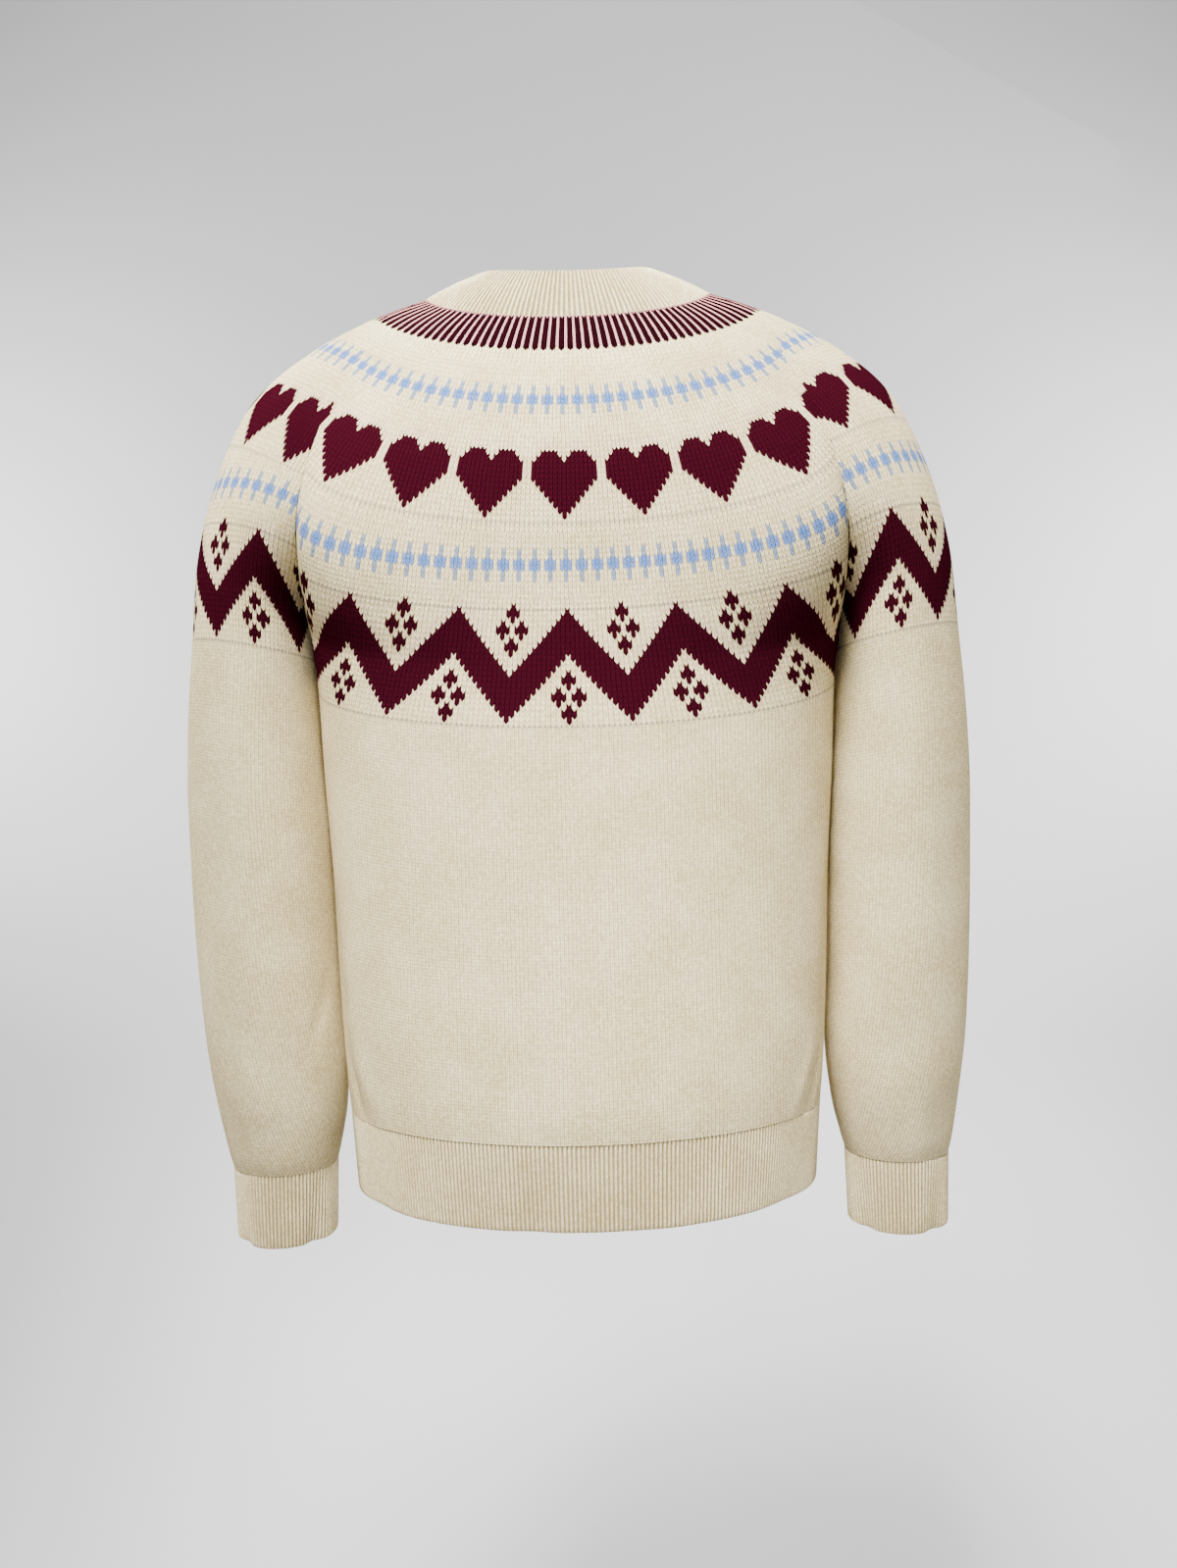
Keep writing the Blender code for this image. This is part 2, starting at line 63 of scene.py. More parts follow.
@dataclass(frozen=True)
class Viewpoint:
    """The camera, square on to the back at the height of the chest.

    Fields:
        lens: focal length in millimetres.
        sensor: height of the frame in millimetres.
        place: where the camera stands.
        roll: turn about its own line of sight, in degrees.
    """

    lens: float = 1190 / 1599 * 36
    sensor: float = 36.0
    place: Point = (0.007, -0.85, -0.355)
    roll: float = -1.3

    def build(self) -> bpy.types.Object:
        """Add the camera and make it the scene's own.

        Returns:
            The camera object.
        """
        data = bpy.data.cameras.new("camera")
        data.lens = self.lens
        data.sensor_width = self.sensor
        camera = bpy.data.objects.new("camera", data)
        bpy.context.scene.collection.objects.link(camera)
        level = Matrix.Rotation(math.pi / 2, 4, "X")
        camera.matrix_world = (
            Matrix.Translation(self.place) @ level @ Matrix.Rotation(math.radians(self.roll), 4, "Z")
        )
        bpy.context.scene.camera = camera
        return camera


class Face(Enum):
    """The two body panels, by the sign of Y."""

    BACK = -1.0
    FRONT = 1.0


class Side(Enum):
    """The two sleeves, by the sign of X."""

    LEFT = -1.0
    RIGHT = 1.0


WALL = 0.0022                 # plain knitting
RIB_WALL = 0.0026             # hem and cuffs, at the crest of a rib
BAND_WALL = 0.0032            # doubled neckband, at the crest of a rib
SEAM_GAP = 0.0003             # between sewn edges
TIGHT_GAP = 0.00004           # across a linked raglan seam, drawn tight
CREASE_GAP = 0.0012           # between body and sleeve, deep in the underarm
COURSE_HEIGHT = 0.0035        # one row of the yoke's pattern
UNDERARM = 70.0               # course where the raglan seams end
YOKE_END = 81.5               # course where the pattern ends
HEM_COURSE = 156.0            # lowest course of the body
CUFF_COURSE = 186.0           # lowest course of a sleeve
CREASE_START = 48.0           # course where the raglan seam turns into a crease
LEAST_SQUARENESS = 0.6        # of a seam's plane to the wall that it cuts
SEAM_SIDE = 0.97              # share of a row at which the seam's two sides are read
NECK_POINTS = 720             # points round the neck seam
SHARP_ANGLE = math.radians(60.0)


def table(names: str, rows: Sequence[Sequence[float]]) -> Table:
    """Return the columns of a short table as arrays, by name.

    Args:
        names: the columns' names, parted by spaces.
        rows: the table's rows.

    Returns:
        A dictionary of one array a column.
    """
    return dict(zip(names.split(), np.array(rows, dtype=float).T))


YOKE = table(
    "course back_y back_z front_y front_z seam_x seam_z slope"
    " arm_y arm_depth arm_angle top_x top_z body_angle",
    [
        (0.0, -0.0720, -0.0425, 0.0860, -0.0800, 0.1000, -0.0100, 0.10,
         0.000, 0.0726, 16.0, 0.1030, -0.0040, 74.0),
        (9.0, -0.0870, -0.0700, 0.1000, -0.1080, 0.1300, -0.0330, 0.10,
         0.000, 0.0655, 34.0, 0.1430, -0.0200, 66.0),
        (20.5, -0.1040, -0.1090, 0.1120, -0.1460, 0.1450, -0.0660, 0.08,
         0.000, 0.0650, 52.0, 0.1810, -0.0380, 66.0),
        (37.0, -0.1135, -0.1645, 0.1215, -0.2020, 0.1680, -0.1150, 0.06,
         0.000, 0.0694, 74.0, 0.2290, -0.0780, 72.0),
        (52.0, -0.1150, -0.2160, 0.1255, -0.2530, 0.1840, -0.1700, 0.04,
         0.000, 0.0710, 100.0, 0.2545, -0.1320, 82.0),
        (62.0, -0.1150, -0.2510, 0.1260, -0.2870, 0.1890, -0.2130, 0.02,
         0.000, 0.0670, 142.0, 0.2650, -0.1720, 88.0),
        (70.0, -0.1150, -0.2790, 0.1255, -0.3135, 0.1910, -0.2380, 0.00,
         0.000, 0.0640, 180.0, 0.2705, -0.2030, 90.0),
    ],
)
TORSO = table(
    "course back_y back_z front_y front_z side_x side_y side_z",
    [
        (70.0, -0.1150, -0.2790, 0.1255, -0.3135, 0.1910, 0.000, -0.2380),
        (81.0, -0.1155, -0.3180, 0.1240, -0.3500, 0.1865, 0.002, -0.2785),
        (97.0, -0.1160, -0.3740, 0.1190, -0.4000, 0.1835, 0.003, -0.3420),
        (113.0, -0.1160, -0.4300, 0.1130, -0.4490, 0.1795, 0.002, -0.4080),
        (129.0, -0.1170, -0.4870, 0.1090, -0.4970, 0.1765, 0.001, -0.4750),
        (146.0, -0.1190, -0.5460, 0.1075, -0.5480, 0.1725, 0.000, -0.5420),
        (156.0, -0.1180, -0.5820, 0.1050, -0.5820, 0.1690, 0.000, -0.5820),
    ],
)
ARM = table(
    "course arm_y arm_depth top_x top_z inner_x inner_z",
    [
        (70.0, 0.0000, 0.0640, 0.2705, -0.2030, 0.1910, -0.2380),
        (81.0, 0.0010, 0.0630, 0.2745, -0.2460, 0.1885, -0.2785),
        (97.0, 0.0020, 0.0620, 0.2800, -0.3050, 0.1852, -0.3380),
        (113.0, 0.0040, 0.0610, 0.2825, -0.3620, 0.1815, -0.3920),
        (129.0, 0.0060, 0.0590, 0.2820, -0.4200, 0.1795, -0.4440),
        (145.0, 0.0070, 0.0565, 0.2800, -0.4780, 0.1776, -0.4960),
        (161.0, 0.0080, 0.0525, 0.2765, -0.5330, 0.1752, -0.5460),
        (174.0, 0.0090, 0.0465, 0.2700, -0.5800, 0.1785, -0.5880),
        (183.0, 0.0100, 0.0415, 0.2645, -0.6140, 0.1842, -0.6160),
        (186.0, 0.0100, 0.0370, 0.2615, -0.6270, 0.1870, -0.6270),
    ],
)


@dataclass(frozen=True)
class Fold:
    """One soft ridge or trough of the cloth.

    Fields:
        course, share: where its middle lies on the panel.
        along, across: half its length and half its width, in metres.
        turn: degrees by which it leans from the way down the panel.
        rise: height in metres, below 0 for a trough.
    """

    course: float
    share: float
    along: float
    across: float
    turn: float
    rise: float

    def lift(self, course: float, arcs: np.ndarray, half: float) -> np.ndarray:
        """Return how far the fold lifts a row's points.

        Args:
            course: the row's course.
            arcs: distances of the points from the panel's middle line.
            half: half the row's length.

        Returns:
            One height in metres a point.
        """
        down = (course - self.course) * COURSE_HEIGHT
        aside = arcs - self.share * half
        turn = math.radians(self.turn)
        along = (down * math.cos(turn) + aside * math.sin(turn)) / self.along
        across = (aside * math.cos(turn) - down * math.sin(turn)) / self.across
        return self.rise * np.exp(-along**2 - across**2)


FOLDS: dict[str, tuple[Fold, ...]] = {
    "back_panel": (
        Fold(150.0, -0.80, 0.020, 0.0045, 35.0, -0.0022),
        Fold(148.0, -0.72, 0.022, 0.0060, 30.0, 0.0014),
        Fold(151.0, 0.80, 0.020, 0.0045, -35.0, -0.0022),
        Fold(149.0, 0.72, 0.022, 0.0060, -30.0, 0.0014),
        Fold(152.5, -0.15, 0.012, 0.0050, 8.0, -0.0008),
        Fold(130.0, -0.88, 0.060, 0.0120, 6.0, -0.0020),
        Fold(126.0, 0.88, 0.060, 0.0120, -6.0, -0.0020),
        Fold(152.0, 0.0, 0.013, 0.1600, 0.0, 0.0010),
    ),
    "front_panel": (
        Fold(150.0, -0.78, 0.020, 0.0050, 32.0, -0.0020),
        Fold(151.0, 0.76, 0.022, 0.0048, -30.0, -0.0022),
        Fold(149.0, 0.66, 0.020, 0.0060, -26.0, 0.0012),
        Fold(128.0, -0.86, 0.055, 0.0120, 5.0, -0.0018),
        Fold(132.0, 0.87, 0.060, 0.0120, -7.0, -0.0020),
        Fold(152.0, 0.0, 0.013, 0.1500, 0.0, 0.0009),
    ),
    "sleeve_left": (
        Fold(122.0, -0.34, 0.105, 0.0260, 0.0, -0.0030),
        Fold(124.0, -0.60, 0.105, 0.0260, 0.0, 0.0014),
        Fold(158.0, 0.52, 0.0315, 0.0480, 0.0, -0.0032),
        Fold(171.0, -0.45, 0.0245, 0.0450, 0.0, 0.0022),
        Fold(168.0, -0.62, 0.012, 0.0300, 68.0, -0.0016),
        Fold(177.0, -0.30, 0.010, 0.0340, 80.0, -0.0014),
        Fold(152.0, -0.78, 0.030, 0.0060, 24.0, -0.0014),
    ),
    "sleeve_right": (
        Fold(128.0, -0.30, 0.098, 0.0240, 0.0, -0.0018),
        Fold(156.0, 0.48, 0.0315, 0.0480, 0.0, -0.0034),
        Fold(170.0, -0.50, 0.0245, 0.0420, 0.0, 0.0022),
        Fold(166.0, -0.56, 0.012, 0.0320, -70.0, -0.0015),
        Fold(178.0, -0.34, 0.010, 0.0340, -82.0, -0.0014),
        Fold(150.0, -0.80, 0.028, 0.0060, -22.0, -0.0014),
    ),
}


def unit(vectors: np.ndarray) -> np.ndarray:
    """Return vectors scaled to length 1."""
    vectors = np.asarray(vectors, dtype=float)
    return vectors / np.maximum(np.linalg.norm(vectors, axis=-1, keepdims=True), 1e-12)


def smooth(columns: Table, name: str, course: float) -> float:
    """Return a column's value at a course, by a monotone cubic through its rows.

    Args:
        columns: the table.
        name: the column.
        course: where to read it.

    Returns:
        The value.
    """
    x, y = columns["course"], columns[name]
    step = np.diff(x)
    rise = np.diff(y) / step
    slope = np.concatenate(([rise[0]], np.zeros(len(x) - 2), [rise[-1]]))
    for i in range(1, len(x) - 1):
        if rise[i - 1] * rise[i] > 0:
            slope[i] = 2 * rise[i - 1] * rise[i] / (rise[i - 1] + rise[i])
    i = int(np.clip(np.searchsorted(x, course) - 1, 0, len(step) - 1))
    t = (course - x[i]) / step[i]
    return float(
        (2 * t**3 - 3 * t**2 + 1) * y[i] + (3 * t**2 - 2 * t**3) * y[i + 1]
        + step[i] * ((t**3 - 2 * t**2 + t) * slope[i] + (t**3 - t**2) * slope[i + 1])
    )


def joined(upper: Table, lower: Table, name: str) -> Table:
    """Return one table of a column that runs on past the underarm.

    Args:
        upper: the yoke's table.
        lower: the table below the underarm.
        name: the column.

    Returns:
        The table of that column.
    """
    above = upper["course"] < lower["course"][0]
    return {
        "course": np.concatenate((upper["course"][above], lower["course"])),
        name: np.concatenate((upper[name][above], lower[name])),
    }


@dataclass(frozen=True)
class Cut:
    """The garment's shape in the worn form, read from the tables of its courses.

    Fields:
        sway: how far both cuffs hang towards the wearer's right.
        sway_power: power by which the sway grows down a sleeve.
    """

    sway: float = 0.0030
    sway_power: int = 3
    depths: Table = field(default_factory=lambda: joined(YOKE, ARM, "arm_depth"))
    tops_x: Table = field(default_factory=lambda: joined(YOKE, ARM, "top_x"))
    tops_z: Table = field(default_factory=lambda: joined(YOKE, ARM, "top_z"))

    def centre_line(self, course: float, face: Face) -> np.ndarray:
        """Return the point of the centre back or centre front line at a course.

        Args:
            course: the row's course.
            face: the back or the front.

        Returns:
            The point.
        """
        name = face.name.lower()
        y, z = (
            smooth(joined(YOKE, TORSO, f"{name}_{axis}"), f"{name}_{axis}", course) for axis in "yz"
        )
        return np.array((0.0, y, z))

    def raglan_middle(self, course: float) -> np.ndarray:
        """Return the point midway between a sleeve's two edges at a course."""
        if course <= UNDERARM:
            return np.array([smooth(YOKE, name, course) for name in ("seam_x", "arm_y", "seam_z")])
        return np.array([smooth(ARM, name, course) for name in ("inner_x", "arm_y", "inner_z")])

    def sleeve_reach(self, course: float) -> np.ndarray:
        """Return the vector from a sleeve course's middle to its foremost point.

        Args:
            course: the row's course.

        Returns:
            The vector.
        """
        depth = smooth(self.depths, "arm_depth", course)
        slope = smooth(YOKE, "slope", course) if course < UNDERARM else 0.0
        return depth * np.array((0.0, 1.0, -slope))

    def sleeve_angle(self, course: float) -> float:
        """Return a sleeve course's half opening angle, a half turn below the underarm."""
        return math.radians(smooth(YOKE, "arm_angle", course)) if course < UNDERARM else math.pi

    def sleeve_row(self, course: float, shares: Sequence[float]) -> np.ndarray:
        """Return the points of a right sleeve's course, from its back to its front edge.

        Args:
            course: the row's course.
            shares: places along the row.

        Returns:
            One point a share.
        """
        end = self.sleeve_angle(course)
        angles = end * np.asarray(shares)
        middle = self.raglan_middle(course)
        top = np.array((
            smooth(self.tops_x, "top_x", course), middle[1], smooth(self.tops_z, "top_z", course),
        ))
        height = ((np.cos(angles) - np.cos(end)) / (1.0 - np.cos(end)))[:, None]
        return middle + np.sin(angles)[:, None] * self.sleeve_reach(course) + height * (top - middle)

    def body_edge(self, course: float, face: Face) -> np.ndarray:
        """Return the point where a body course meets the raglan seam or the side seam."""
        if course <= UNDERARM:
            reach = np.sin(self.sleeve_angle(course)) * self.sleeve_reach(course)
            return self.raglan_middle(course) + face.value * reach
        return np.array([smooth(TORSO, name, course) for name in ("side_x", "side_y", "side_z")])

    def body_row(self, course: float, shares: Sequence[float], face: Face) -> np.ndarray:
        """Return the points of a back or front course, from its left to its right edge.

        Args:
            course: the row's course.
            shares: places along the row.
            face: the back or the front.

        Returns:
            One point a share.
        """
        end = math.radians(smooth(YOKE, "body_angle", course)) if course < UNDERARM else math.pi / 2
        angles = end * np.asarray(shares)
        edge, middle = self.body_edge(course, face), self.centre_line(course, face)
        height = ((np.cos(angles) - np.cos(end)) / (1.0 - np.cos(end)))[:, None]
        points = np.array((0.0, edge[1], edge[2])) + height * (middle - edge * (0, 1, 1))
        points[:, 0] = edge[0] * np.sin(angles) / np.sin(end)
        return points

    def swayed(self, points: np.ndarray) -> np.ndarray:
        """Return sleeve points moved sideways as the sleeves hang, more at the cuffs.

        Args:
            points: the sleeve's points.

        Returns:
            The moved points.
        """
        start, end = ARM["inner_z"][0], ARM["inner_z"][-1]
        share = np.clip((points[..., 2] - start) / (end - start), 0.0, 1.0)
        moved = points.copy()
        moved[..., 0] += self.sway * share**self.sway_power
        return moved

    def raglan_parting(self, course: float, face: Face) -> np.ndarray:
        """Return the unit vector across the raglan seam, from the sleeve into the body.

        Args:
            course: the row's course.
            face: the body panel at the seam.

        Returns:
            The unit vector.
        """
        edge = self.body_edge(course, face)
        into_body = unit(self.body_row(course, [SEAM_SIDE], face)[0] - edge)
        into_sleeve = unit(self.sleeve_row(course, [face.value * SEAM_SIDE])[0] - edge)
        return unit(into_body - into_sleeve)


@dataclass(frozen=True)
class NeckLine:
    """The neck seam, the neckband's top edge and the way down into the yoke.

    All three start at the centre back and go round by the wearer's right.

    Fields:
        half_width: half the width of the top edge.
        back, front: y and z of the top edge at the centre back and the centre front.
        side_z: z of the top edge at the sides.
        dip_power: power by which the top edge dips to back and front.
        below: the course that shows which way the yoke leaves the neck.
        readings: points read on each piece's neck edge.
    """

    half_width: float = 0.0614
    back: tuple[float, float] = (-0.0600, -0.0060)
    front: tuple[float, float] = (0.0715, -0.0450)
    side_z: float = 0.0160
    dip_power: float = 1.5
    below: float = 1.5
    readings: int = 81

    def loops(self, cut: Cut, count: int) -> tuple[np.ndarray, np.ndarray, np.ndarray]:
        """Return the seam, the top edge and the ways down, count points each.

        Args:
            cut: the garment's shape.
            count: how many points each loop gets.

        Returns:
            Three arrays of points or unit vectors.
        """
        shares = np.linspace(-1.0, 1.0, self.readings)
        mirror = np.array((-1.0, 1.0, 1.0))
        found = []
        for course in (0.0, self.below):
            back = cut.body_row(course, shares, Face.BACK)
            front = cut.body_row(course, shares, Face.FRONT)[::-1]
            sleeve = cut.sleeve_row(course, shares)
            middle = len(shares) // 2
            runs = (back[middle:], sleeve, front, sleeve[::-1] * mirror, back[:middle + 1])
            found.append(np.concatenate([run[:-1] for run in runs]))
        down = unit(found[1] - found[0])
        turn = np.linspace(0.0, 2 * np.pi, max(count, NECK_POINTS) + 1)[:-1]
        behind = np.cos(turn) > 0
        along = np.where(behind, -self.back[0], self.front[0]) * -np.cos(turn)
        drop = np.where(behind, self.back[1], self.front[1]) - self.side_z
        top = np.stack((
            self.half_width * np.sin(turn), along,
            self.side_z + drop * np.abs(np.cos(turn)) ** self.dip_power,
        ), axis=1)
        seam, down = self.resample(found[0], count, down)
        return seam, self.resample(top, count)[0], unit(down)

    @staticmethod
    def outward(seam: np.ndarray, top: np.ndarray) -> np.ndarray:
        """Return the unit ways out of the neckband along its seam.

        Args:
            seam: points of the seam.
            top: the points of the top edge above them.

        Returns:
            One unit vector a point.
        """
        along = unit(np.roll(seam, -1, axis=0) - np.roll(seam, 1, axis=0))
        ways = unit(np.cross(along, unit(top - seam)))
        return ways * np.sign(np.einsum("ij,ij->i", ways, seam * (1, 1, 0)))[:, None]

    @staticmethod
    def resample(loop: np.ndarray, count: int, *followers: np.ndarray) -> list[np.ndarray]:
        """Return count points evenly spaced along a closed loop, and its followers there.

        Args:
            loop: the loop's points.
            count: how many points to take.
            followers: further values at the loop's points.

        Returns:
            The loop and its followers, count values each.
        """
        ring = np.vstack((loop, loop[:1]))
        steps = np.linalg.norm(np.diff(ring, axis=0), axis=1)
        length = np.concatenate(([0.0], np.cumsum(steps)))
        places = np.arange(count) / count * length[-1]
        sampled = []
        for values in (loop, *followers):
            closed = np.vstack((values, values[:1]))
            sampled.append(np.stack([np.interp(places, length, closed[:, k]) for k in range(3)], axis=1))
        return sampled


CUT = Cut()
NECK = NeckLine()
NECK_SEAM, NECK_TOP, NECK_DOWN = NECK.loops(CUT, NECK_POINTS)


class Graph:
    """A shader or geometry node tree that is written as calls and expressions."""

    def __init__(self, tree: bpy.types.NodeTree) -> None:
        """Keep the tree and empty it."""
        self.tree = tree
        self.tree.nodes.clear()

    def node(
        self, kind: str, settings: dict[str, Any] | None = None, inputs: dict[str | int, Any] | None = None,
    ) -> bpy.types.Node:
        """Add one node.

        Args:
            kind: the node's type.
            settings: its properties, set first.
            inputs: values or Values of its sockets, by name or number.

        Returns:
            The node.
        """
        node = self.tree.nodes.new(kind)
        for name, value in (settings or {}).items():
            setattr(node, name, value)
        for key, value in (inputs or {}).items():
            socket = node.inputs[key]
            if isinstance(value, Value):
                self.tree.links.new(value.socket, socket)
            elif value is not None:
                socket.default_value = value
        return node

    def value(self, node: bpy.types.Node, output: str | int = 0) -> "Value":
        """Return a node's output as a Value."""
        return Value(self, node.outputs[output])

    def mix(self, factor: "Value | float", first: Any, second: Any) -> "Value":
        """Return a colour between two colours.

        Args:
            factor: 0 for the first, 1 for the second.
            first: a colour or a Value.
            second: a colour or a Value.

        Returns:
            The mixed colour.
        """
        node = self.node("ShaderNodeMix", {"data_type": "RGBA"}, {0: factor, 6: first, 7: second})
        return self.value(node, 2)

    def darken(self, factor: "Value | float", colour: Any, shade_colour: Any) -> "Value":
        """Return a colour multiplied by a darker colour, which paints shade into it.

        Args:
            factor: how much of the tint is taken, 0 to 1.
            colour: a colour or a Value.
            shade_colour: the colour of the painted shade.

        Returns:
            The darker colour.
        """
        settings = {"data_type": "RGBA", "blend_type": "MULTIPLY"}
        return self.value(self.node("ShaderNodeMix", settings, {0: factor, 6: colour, 7: shade_colour}), 2)


class Value:
    """A socket whose operators add Math nodes."""

    def __init__(self, graph: Graph, socket: bpy.types.NodeSocket) -> None:
        """Wrap a socket of a graph."""
        self.graph = graph
        self.socket = socket

    def math(self, operation: str, *others: "Value | float") -> "Value":
        """Return this value put through a Math node.

        Args:
            operation: the node's operation.
            others: the further values of that operation.

        Returns:
            The result.
        """
        inputs = dict(enumerate((self, *others)))
        return self.graph.value(self.graph.node("ShaderNodeMath", {"operation": operation}, inputs))

    def __add__(self, other: "Value | float") -> "Value":
        """Return self + other."""
        return self.math("ADD", other)

    __radd__ = __add__

    def __mul__(self, other: "Value | float") -> "Value":
        """Return self * other."""
        return self.math("MULTIPLY", other)

    __rmul__ = __mul__

    def __sub__(self, other: "Value | float") -> "Value":
        """Return self - other."""
        return self.math("SUBTRACT", other)

    def __rsub__(self, other: float) -> "Value":
        """Return other - self."""
        return self * -1.0 + other

    def __pow__(self, other: "Value | float") -> "Value":
        """Return self to the power of other."""
        return self.math("POWER", other)

    def __gt__(self, other: "Value | float") -> "Value":
        """Return 1 where self is above other."""
        return self.math("GREATER_THAN", other)

    def __lt__(self, other: "Value | float") -> "Value":
        """Return 1 where self is below other."""
        return self.math("LESS_THAN", other)

    def __or__(self, other: "Value | float") -> "Value":
        """Return the larger of the two, the union of two masks."""
        return self.math("MAXIMUM", other)

    def __and__(self, other: "Value | float") -> "Value":
        """Return the smaller of the two, the overlap of two masks."""
        return self.math("MINIMUM", other)

    def size(self) -> "Value":
        """Return the value without its sign."""
        return self.math("ABSOLUTE")

    def floor(self) -> "Value":
        """Return the whole number at or below the value."""
        return self.math("FLOOR")

    def fold(self, half: float) -> "Value":
        """Return the distance to the nearest multiple of twice half."""
        return self.math("PINGPONG", half)

    def ease(self, low: float, high: float) -> "Value":
        """Return a smooth step from 0 at low to 1 at high.

        Args:
            low: where the step starts.
            high: where it ends.

        Returns:
            The step.
        """
        node = self.graph.node(
            "ShaderNodeMapRange", {"interpolation_type": "SMOOTHSTEP"},
            {"Value": self, "From Min": low, "From Max": high},
        )
        return self.graph.value(node)


def union(masks: Iterable[Value]) -> Value:
    """Return the mask of what lies in any of some masks."""
    return functools.reduce(operator.or_, masks)


def new_material(name: str) -> tuple[bpy.types.Material, Graph]:
    """Return a new material and its empty graph.

    Args:
        name: the material's name.

    Returns:
        The material and its graph.
    """
    material = bpy.data.materials.new(name)
    material.use_nodes = True
    return material, Graph(material.node_tree)


@dataclass(frozen=True)
class Stitch:
    """The look of one knitted stitch, two yarn legs that meet at the foot of a V.

    Fields:
        slant: how far a row's edge dips at the middle of a stitch, in rows.
        relief: height of the bump in metres.
        fuzz: height of the stray fibres' bump in metres.
        groove_shade: the colour of the painted shade that darkens the grooves between the legs.
        leg_start, leg_power: how high a leg starts at the middle, and how round it is.
        row_power, row_share: how round a row is, and how much of the height it takes.
    """

    slant: float = 0.6
    relief: float = 0.00060
    fuzz: float = 0.00022
    groove_shade: Colour = (0.42, 0.37, 0.31, 1.0)
    leg_start: float = 0.16
    leg_power: float = 0.7
    row_power: float = 0.5
    row_share: float = 0.65

    def grooves(self, across: Value, row: Value) -> Value:
        """Return the height of the yarn over a stitch, 0 in its grooves and 1 on a leg.

        Args:
            across: 0 at the middle of a stitch, 1 at its edge.
            row: rows, already slanted.

        Returns:
            The height.
        """
        leg = self.arch(across * (1.0 - self.leg_start) + self.leg_start, self.leg_power)
        body = self.arch(row - row.floor(), self.row_power)
        return leg * (body * self.row_share + (1.0 - self.row_share))

    @staticmethod
    def arch(share: Value, power: float) -> Value:
        """Return a rounded arch over a share, 0 at 0 and 1, and 1 in the middle."""
        return (share * math.pi).math("SINE").math("MAXIMUM", 0.0) ** power


@dataclass(frozen=True)
class Speckle:
    """One fineness of the wool's soft unevenness.

    Fields:
        scale, detail: those of its noise.
        low, high: values of the noise where the speckle starts and where it is full.
        share: how much it counts.
    """

    scale: float
    detail: float
    low: float
    high: float
    share: float = 1.0

    def noise(self, graph: Graph, place: Value) -> Value:
        """Return the noise behind the speckle."""
        inputs = {"Vector": place, "Scale": self.scale, "Detail": self.detail}
        return graph.value(graph.node("ShaderNodeTexNoise", {}, inputs))

    def over(self, noise: Value) -> Value:
        """Return the speckle that a noise makes, 0 to its share."""
        return noise.ease(self.low, self.high) * self.share


@dataclass(frozen=True)
class Wool:
    """A woollen finish: its colours and the values that every knitted piece shares.

    Fields:
        cream, lit_cream: the wool's colour deep in the knit and on its stray fibres.
        roughness, specular: the shader's values.
        speckles: what mixes the two creams.
        stitch: the look of a stitch.
    """

    cream: Colour = (0.620, 0.490, 0.245, 1.0)
    lit_cream: Colour = (0.960, 0.845, 0.530, 1.0)
    roughness: float = 0.92
    specular: float = 0.0
    speckles: tuple[Speckle, ...] = (
        Speckle(28.0, 2.0, 0.35, 0.70, 0.25),
        Speckle(430.0, 2.0, 0.38, 0.66, 0.45),
        Speckle(1100.0, 1.0, 0.38, 0.66, 0.30),
    )
    stitch: Stitch = Stitch()

    @staticmethod
    def coordinates(graph: Graph) -> tuple[Value, Value, Value]:
        """Return object coordinates, stitches across and courses or rows down.

        Args:
            graph: the material's graph.

        Returns:
            The three of them.
        """
        place = graph.value(graph.node("ShaderNodeTexCoord"), "Object")
        knit = graph.node("ShaderNodeUVMap", {"uv_map": "knit"})
        axes = graph.node("ShaderNodeSeparateXYZ", {}, {0: graph.value(knit)})
        return place, graph.value(axes, 0), graph.value(axes, 1)

    def speckled(self, graph: Graph, place: Value) -> Value:
        """Return cream wool with its soft unevenness.

        Args:
            graph: the material's graph.
            place: object coordinates.

        Returns:
            The colour.
        """
        lit = (speckle.over(speckle.noise(graph, place)) for speckle in self.speckles)
        return graph.mix(functools.reduce(operator.add, lit), self.cream, self.lit_cream)

    def finish(self, graph: Graph, colour: Value, height: Value) -> None:
        """End a material: its shader, its bump and its output.

        Args:
            graph: the material's graph.
            colour: the base colour.
            height: the bump's height, 0 to 1.
        """
        bump = graph.node(
            "ShaderNodeBump", {}, {"Strength": 1.0, "Distance": self.stitch.relief, "Height": height},
        )
        shader = graph.node("ShaderNodeBsdfPrincipled", {}, {
            "Base Color": colour, "Roughness": self.roughness, "Specular IOR Level": self.specular,
            "Normal": graph.value(bump),
        })
        graph.node("ShaderNodeOutputMaterial", {}, {"Surface": graph.value(shader)})


@dataclass(frozen=True)
class Zone:
    """A run of courses that share one stitch width.

    Fields:
        end: the course where the zone ends.
        middle: the course where the stitches have their width.
        width: the width of a stitch in metres.
        square: 1 where the wales stand square to the rows, 0 where they hang straight.
        fan: how much wider the stitches get with each course.
        pins: distances along the middle course, each with the stitches that it is ahead.
    """

    end: float
    middle: float
    width: float
    square: float = 1.0
    fan: float = 0.0
    pins: tuple[tuple[float, float], ...] = ((0.0, 0.0),)


